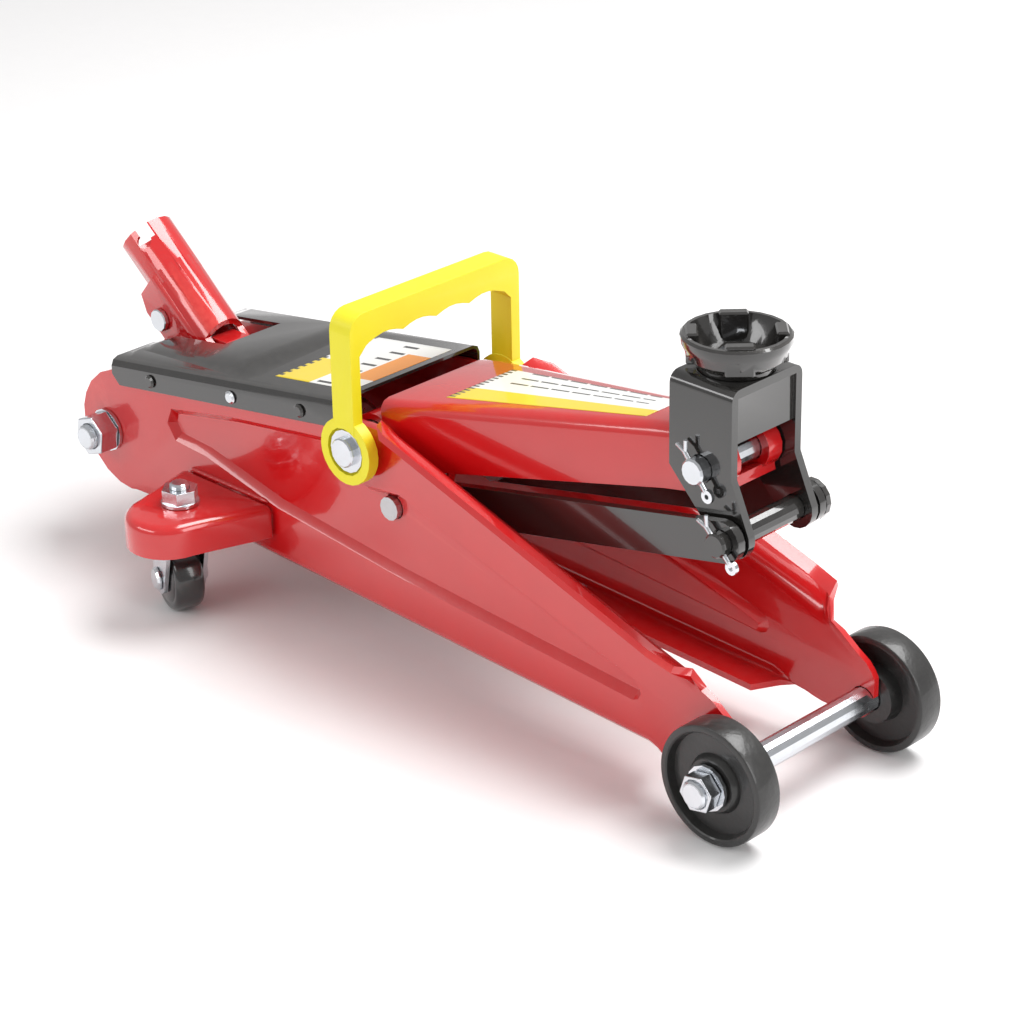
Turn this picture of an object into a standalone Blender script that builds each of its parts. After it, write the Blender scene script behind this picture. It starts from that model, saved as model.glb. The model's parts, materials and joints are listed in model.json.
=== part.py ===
"""A two-ton trolley jack: pressed side plates, a lifting arm with parallel links, and a small hydraulic pump.

X runs forward, towards the big wheels, Z up from the floor, and Y to the jack's left.
Places are measured from the front axle, and one empty then sets the whole jack over the middle of its box.
"""

import math

import bmesh
import bpy
from mathutils import Matrix, Vector

MM = 0.001

# Fits
GAP = 0.35 * MM
PIN_CLEARANCE = 0.35 * MM
SIDE_CLEARANCE = 0.5 * MM

# How far a cutter reaches past whatever it goes through
THROUGH = 60.0 * MM

# Frame
PLATE_HALF_WIDTH = 42.1 * MM
PLATE_THICKNESS = 3.0 * MM
PIVOT_BACK = 218.0 * MM
PIVOT_HEIGHT = 104.4 * MM
REAR_BOLT_BACK = 396.8 * MM
REAR_BOLT_HEIGHT = 58.4 * MM
REAR_END_RADIUS = 33.0 * MM
TOP_FLANGE_REACH = 12.0 * MM
BOTTOM_FLANGE_REACH = 18.0 * MM
RECESS_DEPTH = 3.5 * MM

# Front wheels and axle
WHEEL_RADIUS = 26.8 * MM
WHEEL_WIDTH = 13.3 * MM
WHEEL_RIM = 3.0 * MM
WHEEL_HUB_RADIUS = 12.0 * MM
AXLE_RADIUS = 6.0 * MM
WHEEL_PLATE_GAP = 3.1 * MM

# Lifting arm, links and their pins
ARM_LENGTH = 183.7 * MM
ARM_REST_DEG = 12.0
ARM_SWING_DEG = 65.0
ARM_SHEET = 3.0 * MM
ARM_REAR_HALF_WIDTH = 34.0 * MM
ARM_SHAFT_RADIUS = 9.0 * MM
LINK_FORWARD = 16.5 * MM
LINK_DROP = 25.5 * MM
LINK_DEPTH = 18.0 * MM
LINK_THICKNESS = 4.0 * MM
LINK_STUD_RADIUS = 5.5 * MM
UPPER_PIN_RADIUS = 5.8 * MM
LOWER_PIN_RADIUS = 5.4 * MM
LEVER_LENGTH = 36.0 * MM
LEVER_BACK_DEG = 13.5
LEVER_PIN_RADIUS = 4.5 * MM

# Saddle and its bracket
BRACKET_HALF_WIDTH = 21.5 * MM
BRACKET_SHEET = 3.8 * MM
BRACKET_REACH_FRONT = 15.8 * MM
BRACKET_REACH_BACK = 17.2 * MM
BRACKET_RISE = 37.4 * MM
SADDLE_RADIUS = 22.9 * MM
SADDLE_HEIGHT = 15.0 * MM
SADDLE_RIVET_RADIUS = 5.0 * MM

# Cover
COVER_SHEET = 1.5 * MM
COVER_SKIRT = 13.5 * MM
COVER_SLOPE = 0.157
COVER_HUMP = 5.0 * MM
SCREW_RADIUS = 3.2 * MM

# Carrying handle
HANDLE_HEIGHT = 64.5 * MM
HANDLE_DEPTH = 13.0 * MM
HANDLE_BAR = 14.5 * MM
HANDLE_THICKNESS = 5.4 * MM
HANDLE_EYE_RADIUS = 15.5 * MM
HANDLE_BOLT_RADIUS = 5.0 * MM
HANDLE_THREAD_RADIUS = 4.0 * MM
HANDLE_BOLT_DEPTH = 11.0 * MM
HANDLE_RECESS = 2.8 * MM

# Pump: handle socket, its pins, plunger, block, cylinder and ram
SOCKET_RADIUS = 13.4 * MM
SOCKET_WALL = 2.8 * MM
SOCKET_TILT_DEG = 40.0
SOCKET_LENGTH = 75.1 * MM
FULCRUM_FORWARD = 42.4 * MM
FULCRUM_RISE = 34.7 * MM
FULCRUM_RADIUS = 4.5 * MM
ROLLER_RADIUS = 6.0 * MM
ROLLER_PIN_RADIUS = 4.0 * MM
PLUNGER_RADIUS = 5.5 * MM
BLOCK_HALF_WIDTH = 32.0 * MM
RAM_HEIGHT = 71.2 * MM
RESERVOIR_RADIUS = 25.0 * MM
RESERVOIR_LENGTH = 66.0 * MM
RAM_RADIUS = 9.0 * MM
PUSH_LINK_LENGTH = 24.0 * MM

# Casters
CASTER_BACK = 311.0 * MM
CASTER_OUT = 70.0 * MM
CASTER_RADIUS = 16.5 * MM
CASTER_WIDTH = 15.0 * MM
CASTER_TRAIL = 8.5 * MM
CASTER_YAW_DEG = 20.0
CASTER_TOP = 56.5 * MM
CASTER_SHEET = 2.5 * MM
CASTER_STUD_RADIUS = 4.5 * MM
CASTER_AXLE_RADIUS = 3.5 * MM
CASTER_END_RADIUS = 20.0 * MM

# Fasteners
NUT_M12_ACROSS = 18.0 * MM
NUT_M10_ACROSS = 15.0 * MM
WASHER_THICKNESS = 1.6 * MM
FRONT_WASHER_RADIUS = 10.0 * MM
REAR_WASHER_RADIUS = 10.5 * MM
REAR_BOLT_RADIUS = 6.0 * MM

# Facets: round pieces keep this share of the sides they are drawn with, and never fewer than the least
FACET_SHARE = 0.6
LEAST_FACETS = 12

RIGHT, LEFT = -1, 1


def polar(radius, degrees):
    """A point on a circle in the X-Z plane."""
    angle = math.radians(degrees)
    return Vector((radius * math.cos(angle), radius * math.sin(angle)))


def arc(centre, radius, start, end, steps):
    """Points along an arc, from one angle in degrees to another."""
    return [centre + polar(radius, start + (end - start) * i / steps) for i in range(steps + 1)]


# Joint places in the X-Z plane
FRONT_AXLE = Vector((0.0, WHEEL_RADIUS))
ARM_PIVOT = Vector((-PIVOT_BACK, PIVOT_HEIGHT))
LINK_OFFSET = Vector((LINK_FORWARD, -LINK_DROP))
UPPER_PIN = ARM_PIVOT + polar(ARM_LENGTH, ARM_REST_DEG)
LOWER_PIN = UPPER_PIN + LINK_OFFSET
LINK_ANCHOR = ARM_PIVOT + LINK_OFFSET
LEVER_PIN = ARM_PIVOT + polar(LEVER_LENGTH, -90 - LEVER_BACK_DEG)
REAR_BOLT = Vector((-REAR_BOLT_BACK, REAR_BOLT_HEIGHT))
FULCRUM = REAR_BOLT + Vector((FULCRUM_FORWARD, FULCRUM_RISE))

# The socket's own axes: along its bore from the mouth down, and square to it on the open side
SOCKET_ALONG = polar(1.0, -SOCKET_TILT_DEG)
SOCKET_OPEN = polar(1.0, -90 - SOCKET_TILT_DEG)
FULCRUM_OFFSET = 1.5 * MM
SOCKET_MOUTH = FULCRUM - SOCKET_LENGTH * SOCKET_ALONG - FULCRUM_OFFSET * SOCKET_OPEN
ROLLER_ALONG = 40.0 * MM
ROLLER_OFFSET = 10.4 * MM
ROLLER = SOCKET_MOUTH + ROLLER_ALONG * SOCKET_ALONG + ROLLER_OFFSET * SOCKET_OPEN

FRONT_REACH = WHEEL_RADIUS
REAR_REACH = -SOCKET_MOUTH.x + SOCKET_RADIUS * math.sin(math.radians(SOCKET_TILT_DEG))
AXLE_X = (REAR_REACH - FRONT_REACH) / 2


# Helpers


def clear_scene():
    for obj in list(bpy.data.objects):
        bpy.data.objects.remove(obj, do_unlink=True)


def material(name, colour, roughness, metallic=0.0):
    """A plain painted, plated or moulded surface."""
    made = bpy.data.materials.new(name)
    made.use_nodes = True
    shader = made.node_tree.nodes["Principled BSDF"]
    shader.inputs["Base Color"].default_value = (*colour, 1.0)
    shader.inputs["Roughness"].default_value = roughness
    shader.inputs["Metallic"].default_value = metallic
    made.diffuse_color = (*colour, 1.0)
    return made


def mesh_object(bm, name="shape"):
    """An object from a bmesh, with its faces turned outwards."""
    bmesh.ops.recalc_face_normals(bm, faces=bm.faces)
    mesh = bpy.data.meshes.new(name)
    bm.to_mesh(mesh)
    bm.free()
    obj = bpy.data.objects.new(name, mesh)
    bpy.context.scene.collection.objects.link(obj)
    return obj


def bake(obj):
    """Replaces an object's mesh by what its modifiers make of it."""
    graph = bpy.context.evaluated_depsgraph_get()
    graph.update()
    mesh = bpy.data.meshes.new_from_object(obj.evaluated_get(graph))
    obj.modifiers.clear()
    obj.data = mesh
    return obj


def is_closed(mesh):
    """True when every edge has exactly two faces."""
    bm = bmesh.new()
    bm.from_mesh(mesh)
    closed = all(len(edge.link_faces) == 2 for edge in bm.edges)
    bm.free()
    return closed


def combine(obj, other, operation):
    """Joins, cuts or meets two solids, and removes the second.

    A result left open is made again by the other solver.
    """
    before = obj.data
    for solver in ("EXACT", "MANIFOLD"):
        obj.data = before.copy()
        modifier = obj.modifiers.new(operation.title(), "BOOLEAN")
        modifier.operation = operation
        modifier.solver = solver
        modifier.object = other
        bake(obj)
        if is_closed(obj.data):
            break
    bpy.data.objects.remove(other, do_unlink=True)
    return obj


def cut(obj, *cutters):
    for cutter in cutters:
        combine(obj, cutter, "DIFFERENCE")
    return obj


def join(obj, *others):
    for other in others:
        combine(obj, other, "UNION")
    return obj


def moved(obj, x=0.0, y=0.0, z=0.0):
    obj.data.transform(Matrix.Translation((x, y, z)))
    return obj


def turned_by(obj, degrees, axis, about=(0.0, 0.0, 0.0)):
    centre = Vector(about)
    turn = Matrix.Rotation(math.radians(degrees), 4, axis)
    obj.data.transform(Matrix.Translation(centre) @ turn @ Matrix.Translation(-centre))
    return obj


def outward(obj):
    """Turns an object's faces outwards."""
    bm = bmesh.new()
    bm.from_mesh(obj.data)
    bmesh.ops.recalc_face_normals(bm, faces=bm.faces)
    bm.to_mesh(obj.data)
    bm.free()
    return obj


def mirrored(obj):
    """Turns a right-hand shape into the left-hand one."""
    obj.data.transform(Matrix.Scale(-1, 4, (0, 1, 0)))
    return outward(obj)


def prism(outline, low, high, axis="Y"):
    """A flat outline drawn out along Y (points in X-Z), Z (points in X-Y) or X (points in Y-Z)."""
    place = {
        "Y": lambda p, w: (p[0], w, p[1]),
        "Z": lambda p, w: (p[0], p[1], w),
        "X": lambda p, w: (w, p[0], p[1]),
    }[axis]
    bm = bmesh.new()
    rows = [[bm.verts.new(place(p, w)) for p in outline] for w in (low, high)]
    bm.faces.new(rows[0])
    bm.faces.new(rows[1])
    count = len(outline)
    for i in range(count):
        j = (i + 1) % count
        bm.faces.new((rows[0][i], rows[0][j], rows[1][j], rows[1][i]))
    return mesh_object(bm)


def box(x0, x1, y0, y1, z0, z1):
    return prism([(x0, z0), (x1, z0), (x1, z1), (x0, z1)], y0, y1)


def lathe(profile, segments, axis="Y", centre=(0.0, 0.0, 0.0)):
    """A turned solid. The profile is a closed loop of (radius, height), or starts and ends on the axis."""
    segments = max(LEAST_FACETS, 2 * round(segments * FACET_SHARE / 2))
    bm = bmesh.new()
    rings = []
    for radius, height in profile:
        if radius == 0:
            rings.append([bm.verts.new((0, 0, height))])
            continue
        turns = [math.tau * i / segments for i in range(segments)]
        rings.append([bm.verts.new((radius * math.cos(t), radius * math.sin(t), height)) for t in turns])
    pairs = list(zip(rings, rings[1:]))
    if len(rings[0]) > 1:
        pairs.append((rings[-1], rings[0]))
    for first, second in pairs:
        for i in range(segments):
            j = (i + 1) % segments
            corners = [first[i % len(first)], first[j % len(first)]]
            corners += [second[j % len(second)], second[i % len(second)]]
            bm.faces.new(list(dict.fromkeys(corners)))
    obj = mesh_object(bm)
    if axis == "Y":
        obj.data.transform(Matrix.Rotation(-math.pi / 2, 4, "X"))
    if axis == "X":
        obj.data.transform(Matrix.Rotation(math.pi / 2, 4, "Y"))
    obj.data.transform(Matrix.Translation(centre))
    return obj


def rod(radius, low, high, axis="Y", centre=(0.0, 0.0, 0.0), segments=20, chamfer=0.0):
    """A round bar, with its ends chamfered when asked."""
    profile = [(0, low), (radius - chamfer, low)]
    if chamfer:
        profile += [(radius, low + chamfer), (radius, high - chamfer)]
    profile += [(radius - chamfer, high), (0, high)]
    return lathe(profile, segments, axis, centre)


def tube(inner, outer, low, high, axis="Y", centre=(0.0, 0.0, 0.0), segments=20):
    return lathe([(inner, low), (outer, low), (outer, high), (inner, high)], segments, axis, centre)


def sheet(sections, thickness):
    """Sheet metal: rows of points, each to the left of the one before, give its outer face."""
    bm = bmesh.new()
    rows = [[bm.verts.new(p) for p in section] for section in sections]
    for first, second in zip(rows, rows[1:]):
        for i in range(len(first) - 1):
            bm.faces.new((second[i], second[i + 1], first[i + 1], first[i]))
    mesh = bpy.data.meshes.new("sheet")
    bm.to_mesh(mesh)
    bm.free()
    obj = bpy.data.objects.new("sheet", mesh)
    bpy.context.scene.collection.objects.link(obj)
    solidify = obj.modifiers.new("Thickness", "SOLIDIFY")
    solidify.thickness = thickness
    solidify.offset = -1.0
    solidify.use_even_offset = True
    return outward(bake(obj))


def softened(obj, width, segments=2, angle=50):
    bevel = obj.modifiers.new("Soft edges", "BEVEL")
    bevel.width = width
    bevel.segments = segments
    bevel.limit_method = "ANGLE"
    bevel.angle_limit = math.radians(angle)
    return bake(obj)


def at(point, y=0.0):
    """A place in space from a point in the X-Z plane."""
    return (point[0], y, point[1])


def on_side(shape, side):
    """A shape made for the right, turned into the left-hand one when asked."""
    return mirrored(shape) if side == LEFT else shape


def side_name(base, side):
    return f"{base}_{'right' if side == RIGHT else 'left'}"


def finish(obj, name, surface, origin=(0.0, 0.0, 0.0)):
    """Names a piece, gives it its material, and sets its origin where it is held or turns."""
    place = Vector(origin)
    obj.name = name
    obj.data.name = name
    obj.data.materials.clear()
    obj.data.materials.append(surface)
    obj.data.transform(Matrix.Translation(-place))
    obj.data.shade_smooth()
    obj.data.set_sharp_from_angle(angle=math.radians(35))
    obj.location = place
    obj.parent = JACK
    return obj


clear_scene()
JACK = bpy.data.objects.new("jack", None)
JACK.location = (AXLE_X, 0.0, 0.0)
bpy.context.scene.collection.objects.link(JACK)

RED_PAINT = material("red_paint", (0.62, 0.012, 0.012), 0.22)
BLACK_PAINT = material("black_paint", (0.012, 0.012, 0.012), 0.2)
CAST_BLACK = material("black_cast_iron", (0.015, 0.015, 0.015), 0.45)
ZINC = material("bright_zinc", (0.72, 0.74, 0.76), 0.25, 1.0)
STEEL = material("ground_steel", (0.55, 0.55, 0.56), 0.3, 1.0)
YELLOW_PLASTIC = material("yellow_plastic", (0.83, 0.72, 0.03), 0.38)
RUBBER_BLACK = material("black_tread", (0.02, 0.02, 0.02), 0.3)


# Side plates: one pressed sheet each, with a flared top flange and an inturned bottom flange

PLATE_TOP_RISE = 20.6 * MM
PLATE_TOP_FALL = 0.315
PLATE_BACK_FALL = COVER_SLOPE
NOSE = FRONT_AXLE + Vector((-13.0 * MM, 7.7 * MM))
NOSE_RADIUS = 20.8 * MM
REAR_CENTRE = REAR_BOLT + Vector((13.8 * MM, 5.6 * MM))
PEAK = ARM_PIVOT + Vector((13.0 * MM, PLATE_TOP_RISE - 5.0 * MM))
BEND_RADIUS = 9.0 * MM
BOTTOM_BEND = 7.0 * MM
PLATE_INNER = PLATE_HALF_WIDTH - PLATE_THICKNESS
RECESS_TAPER = 4.0 * MM
# The flange's edge sits this much lower than its bend, so that no two points of a row meet
EDGE_DROP = 0.05 * MM

COVER_FRONT = ARM_PIVOT.x - 12.0 * MM
COVER_REAR = REAR_CENTRE.x - 6.0 * MM
COVER_FACE = PLATE_HALF_WIDTH + GAP + COVER_SHEET
COVER_CORNER = 4.0 * MM
OPENING_FRONT = FULCRUM.x + 17.5 * MM
OPENING_HALF = SOCKET_RADIUS + 4.0 * MM
HUMP_FRONT = OPENING_FRONT + 44.0 * MM


def cover_top(x):
    """The height of the cover's flat top, which follows the plates' upper edges."""
    plate_top = REAR_CENTRE.y + REAR_END_RADIUS + PLATE_BACK_FALL * (x - REAR_CENTRE.x)
    return plate_top + COVER_SHEET + 0.5 * MM


SCREW_SHANK = SCREW_RADIUS * 0.5
SCREW_PLACES = [
    Vector((x, cover_top(x) - 0.62 * COVER_SKIRT))
    for x in (COVER_REAR + 29.0 * MM, COVER_REAR + 87.0 * MM, COVER_FRONT - 25.0 * MM)
]


def plate_heights(x):
    """The lowest and highest point of the upright wall at a place along the plate."""
    rear_low = REAR_CENTRE.y - REAR_END_RADIUS
    nose_low = NOSE.y - NOSE_RADIUS + 4.0 * MM
    along = (x - REAR_CENTRE.x) / (NOSE.x - REAR_CENTRE.x)
    low = rear_low + (nose_low - rear_low) * along
    back_top = REAR_CENTRE.y + REAR_END_RADIUS + PLATE_BACK_FALL * (x - REAR_CENTRE.x)
    front_top = PEAK.y - PLATE_TOP_FALL * (x - PEAK.x)
    high = min(back_top, front_top)
    if x < REAR_CENTRE.x:
        half = math.sqrt(max(REAR_END_RADIUS**2 - (x - REAR_CENTRE.x) ** 2, 0.0))
        low, high = REAR_CENTRE.y - half, REAR_CENTRE.y + half
    if x > NOSE.x:
        half = math.sqrt(max(NOSE_RADIUS**2 - (x - NOSE.x) ** 2, 0.0))
        low, high = NOSE.y - half, NOSE.y + half
    return low, high


def plate_section(x, flare, turn_in):
    """One row across the sheet's outer face, from the bottom flange's edge to the top flange's."""
    low, high = plate_heights(x)
    face = -PLATE_HALF_WIDTH
    row = []
    bend = math.radians(90 * turn_in)
    reach = (BOTTOM_FLANGE_REACH - BOTTOM_BEND) * turn_in
    step = 0.8 * MM * (1 - turn_in)
    start = low + BOTTOM_BEND * math.sin(bend) + 5 * step
    for i in range(4, -1, -1):
        part = bend * i / 4
        y = face + BOTTOM_BEND * (1 - math.cos(part))
        z = start - BOTTOM_BEND * math.sin(part) - step * i
        if i == 4:
            row.append((x, y + reach, z - step - EDGE_DROP))
        row.append((x, y, z))
    lean = math.radians(70 * flare)
    top = high - 8.0 * MM
    row.append((x, face, (start + top) / 2))
    for i in range(4):
        part = lean * i / 3
        y = face - BEND_RADIUS * (1 - math.cos(part))
        z = top + BEND_RADIUS * math.sin(part) + 2.6 * MM * (1 - flare) * i / 3
        row.append((x, y, z))
    last = row[-1]
    straight = (TOP_FLANGE_REACH - BEND_RADIUS * (1 - math.cos(lean))) * flare + 0.2 * MM
    row.append((x, last[1] - straight * math.sin(lean), last[2] + straight * math.cos(lean) * 0.9))
    return row


def plate_recess(outline, deep, shrink, start):
    """The pressed recess as a tapered plug: its outline shrinks towards its floor."""
    floor = []
    for i, point in enumerate(outline):
        before, after = outline[i - 1], outline[(i + 1) % len(outline)]
        edge = (after - before).normalized()
        normal = Vector((-edge.y, edge.x))
        floor.append(point + normal * shrink)
    bm = bmesh.new()
    top = [bm.verts.new((p.x, start, p.y)) for p in outline]
    bottom = [bm.verts.new((p.x, start + deep, p.y)) for p in floor]
    bm.faces.new(top)
    bm.faces.new(bottom)
    for i in range(len(outline)):
        j = (i + 1) % len(outline)
        bm.faces.new((top[i], top[j], bottom[j], bottom[i]))
    return mesh_object(bm)


def recess_outline():
    """The recess runs under the cover and the pivot, and narrows to a round tip near the front."""
    rear = REAR_CENTRE.x + 30.0 * MM
    high = plate_heights(rear + 20 * MM)[1]
    tip = NOSE + Vector((-44.0 * MM, 9.0 * MM))
    tip_radius = 6.0 * MM
    points = [Vector((rear + 6 * MM, REAR_CENTRE.y + 2.5 * MM))]
    points.append(Vector((rear + 28 * MM, REAR_CENTRE.y + 1.0 * MM)))
    points.append(Vector((ARM_PIVOT.x - 58.0 * MM, ARM_PIVOT.y - 50.0 * MM)))
    points.append(Vector((ARM_PIVOT.x + 22.0 * MM, ARM_PIVOT.y - 58.0 * MM)))
    points += arc(tip, tip_radius, -85, 68, 4)
    points.append(Vector((ARM_PIVOT.x + 24.0 * MM, ARM_PIVOT.y - 15.5 * MM)))
    points.append(Vector((ARM_PIVOT.x + 2.0 * MM, ARM_PIVOT.y - 17.5 * MM)))
    points.append(Vector((ARM_PIVOT.x - 15.0 * MM, ARM_PIVOT.y - 10.0 * MM)))
    points.append(Vector((ARM_PIVOT.x - 24.0 * MM, ARM_PIVOT.y - 2.5 * MM)))
    points.append(Vector((rear + 48 * MM, high - 12 * MM)))
    points.append(Vector((rear + 4 * MM, REAR_CENTRE.y + 20 * MM)))
    points.append(Vector((rear, REAR_CENTRE.y + 11 * MM)))
    return points


def side_plate():
    back = REAR_CENTRE.x
    stations = [back + REAR_END_RADIUS * math.cos(math.radians(a)) for a in (168, 155, 140, 122, 105)]
    rows = [plate_section(x, 0.0, 0.0) for x in stations]
    rows.append(plate_section(back, 0.0, 0.02))
    rows.append(plate_section(back + 14 * MM, 0.0, 0.5))
    rows.append(plate_section(back + 24 * MM, 0.0, 1.0))
    rows.append(plate_section(PEAK.x - 30 * MM, 0.0, 1.0))
    rows.append(plate_section(PEAK.x - 1 * MM, 0.0, 1.0))
    rows.append(plate_section(PEAK.x + 5 * MM, 0.6, 1.0))
    rows.append(plate_section(PEAK.x + 12 * MM, 1.0, 1.0))
    front = NOSE.x - 9.0 * MM
    rows.append(plate_section((PEAK.x + front) / 2, 1.0, 1.0))
    rows.append(plate_section(NOSE.x - 36 * MM, 1.0, 1.0))
    rows.append(plate_section(NOSE.x - 30 * MM, 1.0, 0.4))
    rows.append(plate_section(NOSE.x - 26 * MM, 1.0, 0.05))
    rows.append(plate_section(front - 4 * MM, 0.9, 0.0))
    rows.append(plate_section(front, 0.4, 0.0))
    rows.append(plate_section(front + 3 * MM, 0.03, 0.0))
    for angle in (0, 22, 42, 54, 64):
        rows.append(plate_section(NOSE.x + NOSE_RADIUS * math.sin(math.radians(angle)), 0.0, 0.0))
    plate = sheet(rows, PLATE_THICKNESS)
    outline = recess_outline()
    inner = plate_recess(outline, RECESS_DEPTH + 1.0 * MM, RECESS_TAPER, -PLATE_INNER - 1.0 * MM)
    outer = plate_recess(outline, RECESS_DEPTH + 1.0 * MM, RECESS_TAPER + 0.4 * MM, -PLATE_HALF_WIDTH - 1.0 * MM)
    join(plate, inner)
    cut(plate, outer)
    holes = (
        (FRONT_AXLE, AXLE_RADIUS),
        (REAR_BOLT, REAR_BOLT_RADIUS),
        (ARM_PIVOT, ARM_SHAFT_RADIUS),
        (LINK_ANCHOR, LINK_STUD_RADIUS),
        *((place, SCREW_SHANK) for place in SCREW_PLACES),
    )
    for point, radius in holes:
        reach = PLATE_HALF_WIDTH + 5 * MM
        cut(plate, rod(radius + PIN_CLEARANCE, -reach, -reach + 18 * MM, centre=at(point), segments=24))
    return plate


plate = side_plate()
copy = plate.copy()
copy.data = plate.data.copy()
bpy.context.scene.collection.objects.link(copy)
finish(plate, "side_plate_right", RED_PAINT)
finish(mirrored(copy), "side_plate_left", RED_PAINT)


# Front axle and wheels

WHEEL_INNER = PLATE_HALF_WIDTH + WHEEL_PLATE_GAP
WHEEL_OUTER = WHEEL_INNER + WHEEL_WIDTH


def hex_nut(across, bore, low, high, centre, turn=0.0):
    """A hexagon nut lying along Y."""
    corner = across / math.sqrt(3)
    nut = prism([polar(corner, 60 * i + turn) for i in range(6)], low, high)
    cut(nut, rod(bore, low - MM, high + MM, segments=20))
    return moved(nut, *centre)


def front_wheel():
    """A cast wheel: rim, sunken web and a raised hub each side, bored for the axle."""
    low, high = -WHEEL_OUTER, -WHEEL_INNER
    web = (high - low) * 0.3
    rim = WHEEL_RADIUS - WHEEL_RIM
    profile = [
        (AXLE_RADIUS + PIN_CLEARANCE, low + 1.0 * MM),
        (WHEEL_HUB_RADIUS, low + 1.0 * MM),
        (WHEEL_HUB_RADIUS + 1.2 * MM, low + web),
        (rim - 1.2 * MM, low + web),
        (rim, low),
        (WHEEL_RADIUS - 1.0 * MM, low),
        (WHEEL_RADIUS, low + 1.2 * MM),
        (WHEEL_RADIUS, high - 1.2 * MM),
        (WHEEL_RADIUS - 1.0 * MM, high),
        (rim, high),
        (rim - 1.2 * MM, high - web),
        (WHEEL_HUB_RADIUS + 1.2 * MM, high - web),
        (WHEEL_HUB_RADIUS, high + 2.2 * MM),
        (AXLE_RADIUS + PIN_CLEARANCE, high + 2.2 * MM),
    ]
    return lathe(profile, 36, centre=at(FRONT_AXLE))


FRONT_WASHER = WHEEL_OUTER + GAP
FRONT_NUT = FRONT_WASHER + WASHER_THICKNESS + GAP
FRONT_NUT_END = FRONT_NUT + 6.2 * MM
REAR_WASHER = PLATE_HALF_WIDTH + GAP
REAR_NUT = REAR_WASHER + WASHER_THICKNESS + GAP
REAR_NUT_END = REAR_NUT + 10.0 * MM

axle_end = FRONT_NUT_END + 1.8 * MM
finish(rod(AXLE_RADIUS, -axle_end, axle_end, centre=at(FRONT_AXLE), segments=24, chamfer=MM), "front_axle", ZINC)
bolt_end = REAR_NUT_END + 3.0 * MM
finish(rod(REAR_BOLT_RADIUS, -bolt_end, bolt_end, centre=at(REAR_BOLT), chamfer=MM), "rear_bolt", ZINC)

for side in (RIGHT, LEFT):
    finish(on_side(front_wheel(), side), side_name("front_wheel", side), CAST_BLACK, at(FRONT_AXLE))
    washer = tube(AXLE_RADIUS + PIN_CLEARANCE, FRONT_WASHER_RADIUS, -FRONT_WASHER - WASHER_THICKNESS, -FRONT_WASHER,
                  centre=at(FRONT_AXLE), segments=24)
    finish(on_side(washer, side), side_name("front_washer", side), ZINC)
    nut = hex_nut(NUT_M10_ACROSS, AXLE_RADIUS + PIN_CLEARANCE, -FRONT_NUT_END, -FRONT_NUT, at(FRONT_AXLE), 12)
    finish(on_side(nut, side), side_name("front_nut", side), ZINC)
    washer = tube(REAR_BOLT_RADIUS + PIN_CLEARANCE, REAR_WASHER_RADIUS, -REAR_WASHER - WASHER_THICKNESS, -REAR_WASHER,
                  centre=at(REAR_BOLT), segments=24)
    finish(on_side(washer, side), side_name("rear_washer", side), ZINC)
    nut = hex_nut(NUT_M12_ACROSS, REAR_BOLT_RADIUS + PIN_CLEARANCE, -REAR_NUT_END, -REAR_NUT, at(REAR_BOLT), 20)
    finish(on_side(nut, side), side_name("rear_nut", side), ZINC)


# Lifting arm: an inverted channel, wide at its pivot and narrow at the saddle

ARM_NOSE_HALF = BRACKET_HALF_WIDTH - BRACKET_SHEET - 0.6 * MM
ARM_STRAIGHT = 28.0 * MM
ARM_TOP_REAR = 18.6 * MM
ARM_TOP_FRONT = 15.2 * MM
ARM_BOTTOM = 12.5 * MM
ARM_SHOULDER = 6.0 * MM
ARM_TUBE_RADIUS = ARM_SHAFT_RADIUS + 3.4 * MM
EYE_RADIUS = 10.3 * MM
EYE_INNER = 8.5 * MM
LEVER_INNER = 9.0 * MM
LEVER_SHEET = 4.5 * MM
LEVER_END_RADIUS = 9.0 * MM
LEVER_FOOT = 11.0 * MM


def arm_row(along, half, top, bottom):
    """A row over the arm's outer face: up one cheek, over the shoulders and down the other."""
    row = [(along, -half, -bottom), (along, -half, 1.3 * MM)]
    for i in range(4):
        angle = math.radians(30 * i)
        y = -half + ARM_SHOULDER * (1 - math.cos(angle))
        row.append((along, y, top - ARM_SHOULDER + ARM_SHOULDER * math.sin(angle)))
    return row + [(x, -y, z) for x, y, z in reversed(row)]


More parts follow.
